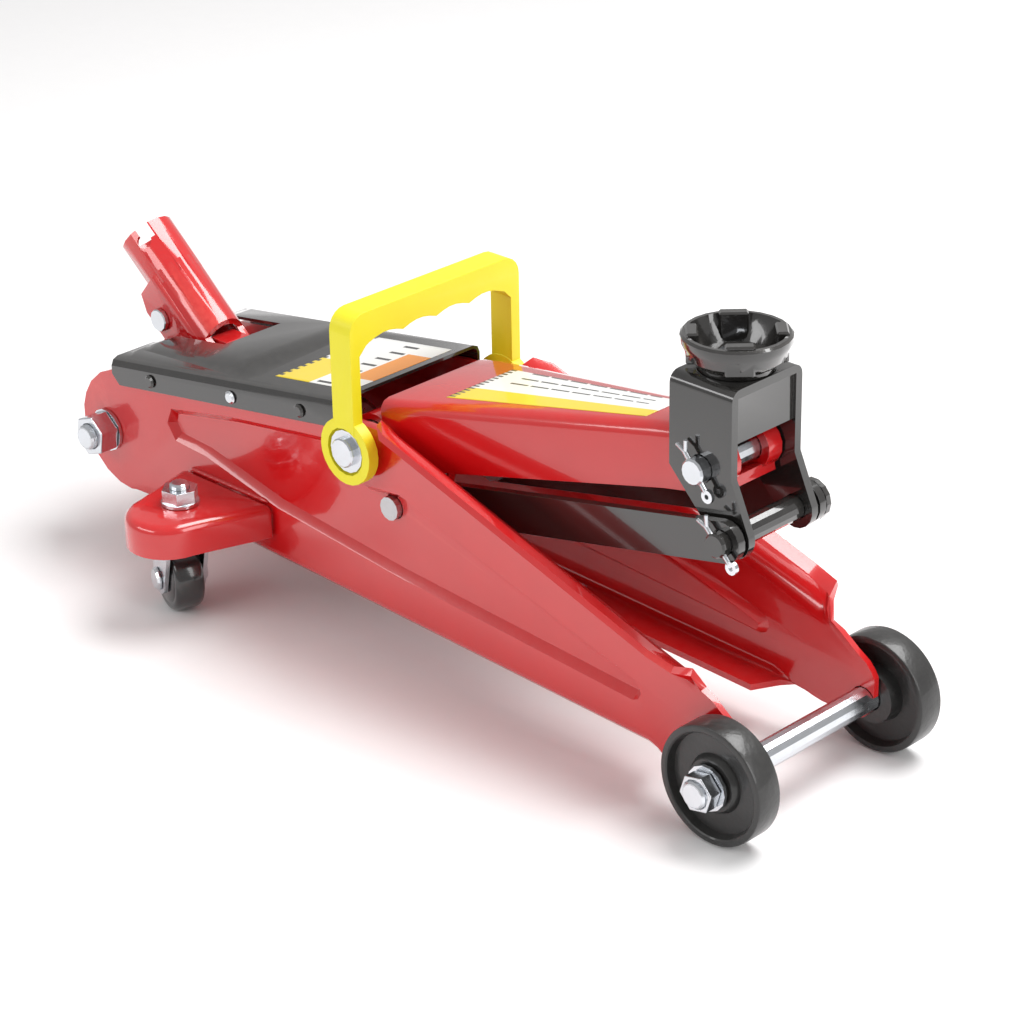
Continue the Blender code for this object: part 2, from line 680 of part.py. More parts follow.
def lift_arm():
    """The arm lies along X from its pivot while it is made, and is then raised to its rest."""
    front = ARM_LENGTH - 3.0 * MM
    straight = ARM_LENGTH - ARM_STRAIGHT
    rows = [
        arm_row(8.0 * MM, ARM_REAR_HALF_WIDTH, ARM_TOP_REAR, 6.0 * MM),
        arm_row(20.0 * MM, ARM_REAR_HALF_WIDTH, ARM_TOP_REAR, ARM_BOTTOM),
        arm_row(straight, ARM_NOSE_HALF, ARM_TOP_FRONT, ARM_BOTTOM),
        arm_row(front, ARM_NOSE_HALF, ARM_TOP_FRONT, ARM_BOTTOM),
    ]
    arm = sheet(rows, ARM_SHEET)
    tube_end = ARM_REAR_HALF_WIDTH - 0.6 * MM
    pivot_tube = rod(ARM_TUBE_RADIUS, -tube_end, tube_end, segments=28)
    eye_end = ARM_NOSE_HALF - 0.3 * MM
    eyes = [
        rod(EYE_RADIUS, *ends, centre=(ARM_LENGTH, 0, 0), segments=24)
        for ends in ((-eye_end, -EYE_INNER), (EYE_INNER, eye_end))
    ]
    strap = box(straight + 6 * MM, ARM_LENGTH + 5 * MM, -ARM_NOSE_HALF + MM, ARM_NOSE_HALF - MM,
                -ARM_BOTTOM + 0.4 * MM, -ARM_BOTTOM + 5 * MM)
    join(arm, pivot_tube, *eyes, strap)
    lever_at = polar(LEVER_LENGTH, -90 - LEVER_BACK_DEG - ARM_REST_DEG)
    square = Vector((-lever_at.y, lever_at.x)).normalized()
    tilt = -LEVER_BACK_DEG - ARM_REST_DEG
    end = arc(lever_at, LEVER_END_RADIUS, tilt - 180, tilt, 8)
    outline = [-LEVER_FOOT * square, *end, LEVER_FOOT * square]
    for low in (-LEVER_INNER - LEVER_SHEET, LEVER_INNER):
        join(arm, prism(outline, low, low + LEVER_SHEET))
    cut(arm, rod(ARM_SHAFT_RADIUS + PIN_CLEARANCE, -THROUGH, THROUGH, segments=28))
    nose = (ARM_LENGTH, 0, 0)
    cut(arm, rod(UPPER_PIN_RADIUS + PIN_CLEARANCE, -THROUGH, THROUGH, centre=nose, segments=24))
    join(arm, rod(LEVER_PIN_RADIUS, -15 * MM, 15 * MM, centre=at(lever_at), chamfer=0.6 * MM))
    turned_by(arm, -ARM_REST_DEG, "Y")
    return moved(arm, *at(ARM_PIVOT))


finish(lift_arm(), "lift_arm", RED_PAINT, at(ARM_PIVOT))
shaft_end = PLATE_HALF_WIDTH - 0.2 * MM
shaft = rod(ARM_SHAFT_RADIUS, -shaft_end, shaft_end, centre=at(ARM_PIVOT), segments=28, chamfer=0.5 * MM)
bolt_hole = HANDLE_THREAD_RADIUS + PIN_CLEARANCE
hole_end = shaft_end - HANDLE_BOLT_DEPTH - 1.4 * MM
for low, high in ((-shaft_end - MM, -hole_end), (hole_end, shaft_end + MM)):
    cut(shaft, rod(bolt_hole, low, high, centre=at(ARM_PIVOT)))
finish(shaft, "arm_shaft", STEEL)


# Parallel links, outside the bracket's ears at the front and on short studs at the back

LINK_INNER = BRACKET_HALF_WIDTH + 1.8 * MM
LINK_OUTER = LINK_INNER + LINK_THICKNESS


def parallel_link():
    radius = LINK_DEPTH / 2
    tilt = ARM_REST_DEG
    outline = arc(LINK_ANCHOR, radius, tilt + 90, tilt + 270, 8)
    outline += arc(LOWER_PIN, radius, tilt - 90, tilt + 90, 8)
    link = prism(outline, -LINK_OUTER, -LINK_INNER)
    for point, pin in ((LINK_ANCHOR, LINK_STUD_RADIUS), (LOWER_PIN, LOWER_PIN_RADIUS)):
        cut(link, rod(pin + PIN_CLEARANCE, -LINK_OUTER - MM, -LINK_INNER + MM, centre=at(point)))
    return link


def link_stud():
    """A headed stud, riveted into the side plate, that carries a link's rear end."""
    head = LINK_STUD_RADIUS + 2.5 * MM
    inner = LINK_INNER - GAP
    profile = [
        (0, -PLATE_HALF_WIDTH + 0.3 * MM),
        (LINK_STUD_RADIUS, -PLATE_HALF_WIDTH + 0.3 * MM),
        (LINK_STUD_RADIUS, -PLATE_INNER + RECESS_DEPTH + GAP),
        (head, -PLATE_INNER + RECESS_DEPTH + GAP),
        (head, -LINK_OUTER - GAP),
        (LINK_STUD_RADIUS, -LINK_OUTER - GAP),
        (LINK_STUD_RADIUS, -inner),
        (head, -inner),
        (head, -inner + 2.5 * MM),
        (0, -inner + 2.5 * MM),
    ]
    return lathe(profile, 20, centre=at(LINK_ANCHOR))


for side in (RIGHT, LEFT):
    finish(on_side(parallel_link(), side), side_name("parallel_link", side), BLACK_PAINT, at(LINK_ANCHOR))
    finish(on_side(link_stud(), side), side_name("link_stud", side), STEEL)


# Saddle bracket with its welded front panel, and the two pins

BRACKET_TOP = UPPER_PIN.y + BRACKET_RISE
BRACKET_FRONT = UPPER_PIN.x + BRACKET_REACH_FRONT
BRACKET_BACK = UPPER_PIN.x - BRACKET_REACH_BACK
EAR_RADIUS = 9.3 * MM
BRACKET_CORNER = 5.0 * MM


def saddle_bracket():
    """An inverted channel whose cheeks lean forward to the lower pin, with a panel welded across its front."""
    ear = arc(LOWER_PIN, EAR_RADIUS, 205, 375, 8)
    outline = [
        Vector((BRACKET_BACK, BRACKET_TOP)),
        Vector((BRACKET_BACK, UPPER_PIN.y - 3.0 * MM)),
        *ear,
        Vector((BRACKET_FRONT, UPPER_PIN.y - 1.2 * MM)),
        Vector((BRACKET_FRONT, BRACKET_TOP)),
    ]
    bracket = prism(outline, -BRACKET_HALF_WIDTH, BRACKET_HALF_WIDTH)
    inner = BRACKET_HALF_WIDTH - BRACKET_SHEET
    under = LOWER_PIN.y - THROUGH
    ceiling = BRACKET_TOP - BRACKET_SHEET
    ends = (UPPER_PIN.x - THROUGH, UPPER_PIN.x + THROUGH)
    centre = Vector((BRACKET_HALF_WIDTH - BRACKET_CORNER, BRACKET_TOP - BRACKET_CORNER))
    rounded = [(-BRACKET_HALF_WIDTH, under), (BRACKET_HALF_WIDTH, under)]
    rounded += [tuple(p) for p in arc(centre, BRACKET_CORNER, 0, 90, 5)]
    rounded += [(-y, z) for y, z in reversed(rounded[2:])]
    combine(bracket, prism(rounded, *ends, "X"), "INTERSECT")
    cut(bracket, prism([(-inner, under), (inner, under), (inner, ceiling), (-inner, ceiling)], *ends, "X"))
    panel_half = inner + MM
    panel = box(BRACKET_FRONT - 4.5 * MM, BRACKET_FRONT - 1.5 * MM, -panel_half, panel_half,
                UPPER_PIN.y + 13.2 * MM, BRACKET_TOP - BRACKET_SHEET + MM)
    join(bracket, panel)
    wide = BRACKET_HALF_WIDTH + 5 * MM
    cut(bracket, rod(UPPER_PIN_RADIUS + PIN_CLEARANCE, -wide, wide, centre=at(UPPER_PIN)),
        rod(LOWER_PIN_RADIUS + PIN_CLEARANCE, -wide, wide, centre=at(LOWER_PIN)),
        rod(SADDLE_RIVET_RADIUS + PIN_CLEARANCE, BRACKET_TOP - 10 * MM, BRACKET_TOP + 5 * MM, "Z",
            (SADDLE_X, 0, 0)))
    return bracket


SADDLE_X = (BRACKET_FRONT + BRACKET_BACK) / 2
finish(saddle_bracket(), "saddle_bracket", BLACK_PAINT, at(UPPER_PIN))


def cross_pin(radius, head, head_low, reach, centre):
    """A headed pin: its head is on the jack's left, and its drilled end on the right."""
    profile = [(0, -reach), (radius - 0.8 * MM, -reach), (radius, -reach + 0.8 * MM), (radius, head_low),
               (head, head_low), (head, head_low + PIN_HEAD), (0, head_low + PIN_HEAD)]
    return lathe(profile, 24, centre=at(centre))


UPPER_PIN_END = BRACKET_HALF_WIDTH + 6.0 * MM
LOWER_PIN_END = LINK_OUTER + 5.0 * MM
COTTER_RADIUS = 0.9 * MM
COTTER_INSET = 2.4 * MM
COTTER_STEM = 1.3 * COTTER_RADIUS
COTTER_LEG = 5.5 * MM
PIN_HEAD = 2.6 * MM


def cotter(centre, out, radius, tilt):
    """A split pin: a round eye, two legs through the drilled pin, and splayed ends."""
    reach = radius + 3.5 * MM
    loop = tube(1.1 * MM, 2.9 * MM, -COTTER_RADIUS, COTTER_RADIUS, centre=(0, 0, -reach - 2.0 * MM), segments=14)
    stem = rod(COTTER_STEM, -reach, reach, "Z", segments=10)
    pin = join(stem, loop)
    root = (0, 0, reach - MM)
    for splay in (38, -22):
        join(pin, turned_by(rod(COTTER_RADIUS, 0, COTTER_LEG, "Z", root, 10), splay, "Y", root))
    turned_by(pin, tilt, "Y")
    return moved(pin, centre[0], -out, centre[1])


for name, point, radius, head, seat, end, tilt, surface in (
    ("upper", UPPER_PIN, UPPER_PIN_RADIUS, 8.4 * MM, BRACKET_HALF_WIDTH + GAP, UPPER_PIN_END, -38, ZINC),
    ("lower", LOWER_PIN, LOWER_PIN_RADIUS, 9.0 * MM, LINK_OUTER + GAP, LOWER_PIN_END, -45, BLACK_PAINT),
):
    pin = cross_pin(radius, head, seat, end, point)
    drill = turned_by(rod(COTTER_STEM + 0.3 * MM, -THROUGH, THROUGH, "Z", segments=10), tilt, "Y")
    cut(pin, moved(drill, point.x, -end + COTTER_INSET, point.y))
    finish(pin, f"{name}_pin", surface, at(point))
    finish(cotter(point, end - COTTER_INSET, radius, tilt), f"{name}_cotter_pin", ZINC, at(point))


# Saddle: a turned cup with four lugs, held by one rivet on which it swivels

SADDLE_FOOT = BRACKET_TOP + GAP
SADDLE_FLOOR = SADDLE_FOOT + 4.0 * MM
SADDLE_RIM = SADDLE_FOOT + SADDLE_HEIGHT
LUG_RISE = 1.3 * MM
RIVET_HEAD = 8.0 * MM


def saddle():
    rim_inner = SADDLE_RADIUS - 3.2 * MM
    bore = SADDLE_RIVET_RADIUS + PIN_CLEARANCE
    profile = [
        (bore, SADDLE_FOOT), (SADDLE_RADIUS * 0.7, SADDLE_FOOT), (SADDLE_RADIUS * 0.72, SADDLE_FOOT + 2.0 * MM),
        (SADDLE_RADIUS * 0.9, SADDLE_FOOT + 5.5 * MM), (SADDLE_RADIUS - 1.0 * MM, SADDLE_RIM - 5.5 * MM),
        (SADDLE_RADIUS, SADDLE_RIM - 3.5 * MM), (SADDLE_RADIUS, SADDLE_RIM - 1.0 * MM),
        (SADDLE_RADIUS - 1.0 * MM, SADDLE_RIM), (rim_inner + 0.6 * MM, SADDLE_RIM),
        (rim_inner - 0.6 * MM, SADDLE_RIM - 4.0 * MM), (rim_inner - 4.0 * MM, SADDLE_FLOOR),
        (bore, SADDLE_FLOOR),
    ]
    cup = lathe(profile, 40, "Z", (SADDLE_X, 0, 0))
    for quarter in range(4):
        lug = box(rim_inner - 4.2 * MM, rim_inner + 0.9 * MM, -6.0 * MM, 6.0 * MM, SADDLE_FLOOR - MM,
                  SADDLE_RIM + LUG_RISE)
        softened(lug, 0.8 * MM, 1)
        turned_by(lug, 45 + 90 * quarter, "Z")
        join(cup, moved(lug, SADDLE_X))
    return cup


finish(saddle(), "saddle", BLACK_PAINT, (SADDLE_X, 0, SADDLE_FOOT))
rivet_foot = BRACKET_TOP - BRACKET_SHEET - GAP
rivet_top = SADDLE_FLOOR + 2.4 * MM
rivet = lathe([(0, rivet_foot - 2 * MM), (RIVET_HEAD, rivet_foot - 2 * MM), (RIVET_HEAD, rivet_foot),
               (SADDLE_RIVET_RADIUS, rivet_foot), (SADDLE_RIVET_RADIUS, SADDLE_FLOOR + GAP),
               (RIVET_HEAD, SADDLE_FLOOR + GAP), (RIVET_HEAD, rivet_top - 0.8 * MM), (RIVET_HEAD - MM, rivet_top),
               (0, rivet_top)], 24, "Z", (SADDLE_X, 0, 0))
finish(rivet, "saddle_rivet", ZINC, (SADDLE_X, 0, SADDLE_FOOT))


# Cover: a pressed tray over the rear of the plates, raised round the opening for the handle socket

def ramp(value):
    value = min(max(value, 0.0), 1.0)
    return value * value * (3 - 2 * value)


def hump(x, y):
    """How far the pan stands above the top: full in the middle, none at its edges."""
    ahead = ramp((HUMP_FRONT - x) / (16.0 * MM))
    behind = ramp((x - COVER_REAR - 2 * MM) / (14.0 * MM))
    across = ramp((COVER_FACE - 4.5 * MM - abs(y)) / (10.0 * MM))
    return COVER_HUMP * min(ahead, behind, across)


def cover():
    across = [-1.0, -0.86, -0.72]
    half = COVER_FACE - COVER_CORNER
    ys = [half * t for t in across] + [-OPENING_HALF, 0.0, OPENING_HALF] + [-half * t for t in reversed(across)]
    xs = [COVER_REAR, COVER_REAR + 5 * MM, COVER_REAR + 10 * MM, COVER_REAR + 18 * MM, OPENING_FRONT,
          HUMP_FRONT - 16 * MM, HUMP_FRONT - 11 * MM, HUMP_FRONT - 5 * MM, HUMP_FRONT, COVER_FRONT - 20 * MM,
          COVER_FRONT]
    bend = COVER_CORNER * (1 - math.sqrt(0.5))
    rows = []
    for x in xs:
        top = cover_top(x)
        low = top - COVER_SKIRT * (1.0 if x > COVER_REAR else 0.6)
        row = [(x, -COVER_FACE, low), (x, -COVER_FACE, top - COVER_CORNER)]
        row.append((x, -COVER_FACE + bend, top - bend))
        row += [(x, y, top + hump(x, y)) for y in ys]
        row.append((x, COVER_FACE - bend, top - bend))
        row += [(x, COVER_FACE, top - COVER_CORNER), (x, COVER_FACE, low)]
        rows.append(row)
    tray = sheet(rows, COVER_SHEET)
    opening = box(COVER_REAR - 5 * MM, OPENING_FRONT, -OPENING_HALF, OPENING_HALF, cover_top(COVER_REAR) - THROUGH,
                  cover_top(OPENING_FRONT) + THROUGH)
    cut(tray, opening)
    for place in SCREW_PLACES:
        cut(tray, rod(SCREW_SHANK + PIN_CLEARANCE, -THROUGH, THROUGH, centre=at(place), segments=12))
    return tray


finish(cover(), "cover", BLACK_PAINT)

for side in (RIGHT, LEFT):
    for number, place in enumerate(SCREW_PLACES, 1):
        low = -COVER_FACE - GAP
        tip = -PLATE_HALF_WIDTH + 2.2 * MM
        profile = [(0, low - 1.3 * MM), (SCREW_RADIUS * 0.7, low - 1.3 * MM), (SCREW_RADIUS, low - 0.5 * MM),
                   (SCREW_RADIUS, low), (SCREW_SHANK, low), (SCREW_SHANK, tip), (0, tip)]
        screw = lathe(profile, 14, centre=at(place))
        surface = ZINC if number == 2 else BLACK_PAINT
        finish(on_side(screw, side), side_name(f"cover_screw_{number}", side), surface)


# Carrying handle: one moulding on two bolts in the ends of the arm's shaft

HANDLE_INNER = COVER_FACE + 2.2 * MM
HANDLE_OUTER = HANDLE_INNER + HANDLE_THICKNESS


def carry_handle():
    """Two flat legs and a grip with finger hollows, with an eye at the foot of each leg."""
    top = ARM_PIVOT.y + HANDLE_HEIGHT
    under = top - HANDLE_BAR
    corner = 9.0 * MM
    outline = [Vector((HANDLE_OUTER, ARM_PIVOT.y))]
    outline += arc(Vector((HANDLE_OUTER - corner, top - corner)), corner, 0, 90, 5)
    outline += arc(Vector((-HANDLE_OUTER + corner, top - corner)), corner, 90, 180, 5)
    outline += [Vector((-HANDLE_OUTER, ARM_PIVOT.y)), Vector((-HANDLE_INNER, ARM_PIVOT.y))]
    outline += [Vector((-HANDLE_INNER, under - 5 * MM)), Vector((-HANDLE_INNER + 4 * MM, under - MM))]
    pitch = 2 * (HANDLE_INNER - 6 * MM) / 4
    for finger in range(4):
        start = -HANDLE_INNER + 6 * MM + pitch * finger
        for i in range(5):
            part = i / 5
            outline.append(Vector((start + pitch * part, under + 2.2 * MM * math.sin(math.pi * part))))
    outline += [Vector((HANDLE_INNER - 4 * MM, under - MM)), Vector((HANDLE_INNER, under - 5 * MM))]
    outline.append(Vector((HANDLE_INNER, ARM_PIVOT.y)))
    handle = prism(outline, ARM_PIVOT.x - HANDLE_DEPTH / 2, ARM_PIVOT.x + HANDLE_DEPTH / 2, "X")
    foot = PLATE_HALF_WIDTH + GAP
    outer, inner = HANDLE_OUTER - 0.3 * MM, HANDLE_INNER - 0.4 * MM
    for side in (RIGHT, LEFT):
        eye_ends = sorted((side * outer, side * inner))
        boss_ends = sorted((side * foot, side * (inner + MM)))
        eye = rod(HANDLE_EYE_RADIUS, *eye_ends, centre=at(ARM_PIVOT), segments=40)
        boss = rod(HANDLE_EYE_RADIUS - 6 * MM, *boss_ends, centre=at(ARM_PIVOT))
        join(handle, eye, boss)
    wide = HANDLE_OUTER + MM
    for side in (RIGHT, LEFT):
        ends = sorted((side * (HANDLE_OUTER - HANDLE_RECESS), side * wide))
        cut(handle, rod(HANDLE_EYE_RADIUS - 4.5 * MM, *ends, centre=at(ARM_PIVOT), segments=28))
    return cut(handle, rod(HANDLE_BOLT_RADIUS + PIN_CLEARANCE, -wide, wide, centre=at(ARM_PIVOT)))


finish(carry_handle(), "carry_handle", YELLOW_PLASTIC, at(ARM_PIVOT))


def handle_bolt():
    """A shouldered bolt with its washer in one, screwed into the shaft's end."""
    seat = -HANDLE_OUTER + HANDLE_RECESS - GAP
    tip = -PLATE_HALF_WIDTH + HANDLE_BOLT_DEPTH
    flange = HANDLE_EYE_RADIUS - 5.6 * MM
    profile = [(0, seat - 4.4 * MM), (6.2 * MM, seat - 4.4 * MM), (6.8 * MM, seat - 3.8 * MM),
               (6.8 * MM, seat - 1.4 * MM), (flange, seat - 1.4 * MM), (flange, seat), (HANDLE_BOLT_RADIUS, seat),
               (HANDLE_BOLT_RADIUS, -PLATE_HALF_WIDTH - GAP), (HANDLE_THREAD_RADIUS, -PLATE_HALF_WIDTH - GAP),
               (HANDLE_THREAD_RADIUS, tip), (0, tip)]
    return lathe(profile, 24, centre=at(ARM_PIVOT))


finish(handle_bolt(), "handle_bolt_right", ZINC)
finish(mirrored(handle_bolt()), "handle_bolt_left", ZINC)


# Handle socket: a tube at the mouth that opens into a channel, with its fulcrum and roller pins

SOCKET_INNER = SOCKET_RADIUS - SOCKET_WALL
CHANNEL_START = 25.0 * MM
SLOT_TURN_DEG = 40.0
LEG_END_RADIUS = 9.0 * MM
# The mouth stands this much proud of the channel, so that their faces don't lie in one another
SEAM = 0.06 * MM


def socket_shape():
    """The socket is made along -Z from its mouth, its open side towards -X, and is then tilted."""
    r = SOCKET_RADIUS
    far = 20 * MM
    mouth = rod(r + SEAM, -CHANNEL_START - 4 * MM, 0, "Z", segments=28)
    section = [tuple(p) for p in arc(Vector((0, 0)), r, -90, 90, 12)] + [(-far, r), (-far, -r)]
    channel = prism(section, -SOCKET_LENGTH - 14 * MM, -CHANNEL_START + 2 * MM, "Z")
    end = arc(Vector((-FULCRUM_OFFSET, -SOCKET_LENGTH)), LEG_END_RADIUS, 20, -140, 8)
    side = [Vector((r + MM, -10 * MM)), Vector((r + MM, -61 * MM)), Vector((6.5 * MM, -64 * MM)), *end,
            Vector((-17.2 * MM, -57 * MM)), Vector((-17.2 * MM, -31 * MM)), Vector((-14.5 * MM, -26 * MM)),
            Vector((-r + MM, -22 * MM)), Vector((-r + MM, -10 * MM))]
    combine(channel, prism(side, -r - MM, r + MM), "INTERSECT")
    join(channel, mouth)
    inner = SOCKET_INNER
    hollow = [tuple(p) for p in arc(Vector((0, 0)), inner, -90, 90, 12)]
    hollow += [(-far - MM, inner), (-far - MM, -inner)]
    cut(channel, prism(hollow, -SOCKET_LENGTH - 16 * MM, -CHANNEL_START, "Z"))
    cut(channel, rod(inner + SEAM, -CHANNEL_START - MM, MM, "Z", segments=28))
    slot = box(0, far, -3.3 * MM, 3.3 * MM, -7.5 * MM, MM)
    hook = rod(3.6 * MM, 0, far, "X", (0, -2.6 * MM, -7.0 * MM), 14)
    for cutter in (slot, hook):
        cut(channel, turned_by(cutter, -SLOT_TURN_DEG, "Z"))
    for x, z, radius in (
        (-ROLLER_OFFSET, -ROLLER_ALONG, ROLLER_PIN_RADIUS),
        (-FULCRUM_OFFSET, -SOCKET_LENGTH, FULCRUM_RADIUS),
    ):
        cut(channel, rod(radius + PIN_CLEARANCE, -THROUGH, THROUGH, centre=(x, 0, z)))
    turned_by(channel, -(90 - SOCKET_TILT_DEG), "Y")
    return moved(channel, SOCKET_MOUTH.x, 0, SOCKET_MOUTH.y)


finish(socket_shape(), "handle_socket", RED_PAINT, at(FULCRUM))


def clevis_pin(radius, head, reach, centre):
    """A pin with a flat head on each side of the socket."""
    seat = reach + GAP
    end = seat + 2.4 * MM
    profile = [(0, -end), (head - 0.5 * MM, -end), (head, -end + 0.5 * MM), (head, -seat), (radius, -seat),
               (radius, seat), (head, seat), (head, end - 0.5 * MM), (head - 0.5 * MM, end), (0, end)]
    return lathe(profile, 20, centre=at(centre))


finish(clevis_pin(ROLLER_PIN_RADIUS, 5.6 * MM, SOCKET_RADIUS, ROLLER), "socket_pin", ZINC, at(FULCRUM))
finish(clevis_pin(FULCRUM_RADIUS, 6.0 * MM, SOCKET_RADIUS, FULCRUM), "fulcrum_pin", ZINC)
roller_half = SOCKET_INNER - SIDE_CLEARANCE
finish(tube(ROLLER_PIN_RADIUS + PIN_CLEARANCE, ROLLER_RADIUS, -roller_half, roller_half, centre=at(ROLLER)),
       "pump_roller", STEEL, at(FULCRUM))


# Hydraulic unit: block, cylinder, ram with its push link, pump plunger and release valve

BLOCK_REAR = REAR_BOLT.x - 10.0 * MM
BLOCK_FRONT = REAR_BOLT.x + 56.0 * MM
BLOCK_LOW = RAM_HEIGHT - 27.0 * MM
BLOCK_TOP = RAM_HEIGHT + 9.0 * MM
PLUNGER_TOP = ROLLER.y - ROLLER_RADIUS - 0.8 * MM
PLUNGER_HEAD = 3.0 * MM
BARREL_TOP = BLOCK_TOP + 3.0 * MM
VALVE_HEIGHT = REAR_BOLT.y + 14.0 * MM
VALVE_SIDE = 20.0 * MM
VALVE_RADIUS = 5.0 * MM
VALVE_END = BLOCK_REAR + 13.0 * MM


def pump_block():
    """The casting that carries the fulcrum lug, the plunger's barrel and the cylinder."""
    block = box(BLOCK_REAR, BLOCK_FRONT, -BLOCK_HALF_WIDTH, BLOCK_HALF_WIDTH, BLOCK_LOW, BLOCK_TOP)
    softened(block, 2.5 * MM, 2)
    leg_top = LEG_END_RADIUS - FULCRUM_OFFSET
    lug_half = math.sqrt(SOCKET_INNER**2 - leg_top**2) - SIDE_CLEARANCE
    lug = [
        Vector((FULCRUM.x - 13 * MM, BLOCK_TOP - 3 * MM)),
        Vector((FULCRUM.x + 12.5 * MM, BLOCK_TOP - 3 * MM)),
        Vector((FULCRUM.x + 10.5 * MM, FULCRUM.y + 8.5 * MM)),
        Vector((FULCRUM.x + 6.5 * MM, FULCRUM.y + 12.5 * MM)),
        Vector((FULCRUM.x - 5 * MM, FULCRUM.y + 12.5 * MM)),
        Vector((FULCRUM.x - 10 * MM, FULCRUM.y + 6 * MM)),
    ]
    join(block, prism(lug, -lug_half, lug_half))
    over_plunger = (ROLLER.x, 0, 0)
    join(block, rod(PLUNGER_RADIUS + 4.0 * MM, BLOCK_TOP - 5 * MM, BARREL_TOP, "Z", over_plunger))
    cut(block, rod(FULCRUM_RADIUS + PIN_CLEARANCE, -THROUGH, THROUGH, centre=at(FULCRUM)),
        rod(REAR_BOLT_RADIUS + PIN_CLEARANCE, -THROUGH, THROUGH, centre=at(REAR_BOLT)),
        rod(PLUNGER_RADIUS + PIN_CLEARANCE, REAR_BOLT.y + 9.0 * MM, BARREL_TOP + MM, "Z", over_plunger))
    bore = VALVE_RADIUS + PIN_CLEARANCE
    return cut(block, rod(bore, BLOCK_REAR - MM, VALVE_END + MM, "X", (0, VALVE_SIDE, VALVE_HEIGHT)))


finish(pump_block(), "pump_block", RED_PAINT)

plunger_foot = REAR_BOLT.y + 16.5 * MM
head_radius = PLUNGER_RADIUS + 2.5 * MM
plunger = lathe([(0, PLUNGER_TOP), (head_radius, PLUNGER_TOP), (head_radius, PLUNGER_TOP - PLUNGER_HEAD),
                 (PLUNGER_RADIUS, PLUNGER_TOP - PLUNGER_HEAD), (PLUNGER_RADIUS, plunger_foot), (0, plunger_foot)],
                20, "Z", (ROLLER.x, 0, 0))
finish(plunger, "pump_plunger", STEEL, (ROLLER.x, 0, BARREL_TOP))

SPRING_LOW = BARREL_TOP + GAP
SPRING_HIGH = PLUNGER_TOP - PLUNGER_HEAD - GAP
SPRING_WIRE = 0.8 * MM


def coil(radius, wire, low, high, turns, centre):
    """A compression spring drawn as one round wire along a helix."""
    curve = bpy.data.curves.new("coil", "CURVE")
    curve.dimensions = "3D"
    curve.bevel_depth = wire
    curve.bevel_resolution = 1
    curve.use_fill_caps = True
    spline = curve.splines.new("POLY")
    count = turns * LEAST_FACETS
    spline.points.add(count)
    for i, point in enumerate(spline.points):
        angle = math.tau * i / LEAST_FACETS
        height = low + wire + (high - low - 2 * wire) * i / count
        point.co = (centre[0] + radius * math.cos(angle), centre[1] + radius * math.sin(angle), height, 1.0)
    obj = bpy.data.objects.new("coil", curve)
    bpy.context.scene.collection.objects.link(obj)
    graph = bpy.context.evaluated_depsgraph_get()
    solid = bpy.data.objects.new("coil", bpy.data.meshes.new_from_object(obj.evaluated_get(graph)))
    bpy.context.scene.collection.objects.link(solid)
    bpy.data.objects.remove(obj, do_unlink=True)
    bm = bmesh.new()
    bm.from_mesh(solid.data)
    bmesh.ops.remove_doubles(bm, verts=bm.verts, dist=0.01 * MM)
    bm.to_mesh(solid.data)
    bm.free()
    return outward(solid)


spring = coil(PLUNGER_RADIUS + 1.4 * MM, SPRING_WIRE, SPRING_LOW, SPRING_HIGH, 4, (ROLLER.x, 0))
finish(spring, "pump_spring", STEEL, (ROLLER.x, 0, SPRING_LOW))

valve_head = BLOCK_REAR - 3.5 * MM
valve = lathe([(0, VALVE_END), (VALVE_RADIUS, VALVE_END), (VALVE_RADIUS, valve_head + MM),
               (VALVE_RADIUS - MM, valve_head), (0, valve_head)], 20, "X", (0, VALVE_SIDE, VALVE_HEIGHT))
cut(valve, box(BLOCK_REAR - 5 * MM, BLOCK_REAR - 1.5 * MM, VALVE_SIDE - 0.9 * MM, VALVE_SIDE + 0.9 * MM,
               VALVE_HEIGHT - 8 * MM, VALVE_HEIGHT + 8 * MM))
finish(valve, "release_valve", ZINC, (BLOCK_REAR, VALVE_SIDE, VALVE_HEIGHT))

CYLINDER_REAR = BLOCK_FRONT + GAP
CYLINDER_FRONT = CYLINDER_REAR + RESERVOIR_LENGTH
ram_bore = RAM_RADIUS + PIN_CLEARANCE
tank = lathe([(0, CYLINDER_REAR), (RESERVOIR_RADIUS - 1.5 * MM, CYLINDER_REAR),
              (RESERVOIR_RADIUS - 1.5 * MM, CYLINDER_FRONT - 10 * MM), (RESERVOIR_RADIUS, CYLINDER_FRONT - 9 * MM),
              (RESERVOIR_RADIUS, CYLINDER_FRONT - 2 * MM), (RESERVOIR_RADIUS - 2 * MM, CYLINDER_FRONT),
              (ram_bore, CYLINDER_FRONT), (ram_bore, CYLINDER_REAR + 4 * MM), (0, CYLINDER_REAR + 4 * MM)],
             32, "X", (0, 0, RAM_HEIGHT))
finish(tank, "cylinder", STEEL)

RAM_PIN_X = LEVER_PIN.x - PUSH_LINK_LENGTH
RAM_PIN = Vector((RAM_PIN_X, RAM_HEIGHT))
CLEVIS_HALF = 11.0 * MM
RAM_PIN_RADIUS = 4.0 * MM
PUSH_LINK_HALF = 7.0 * MM


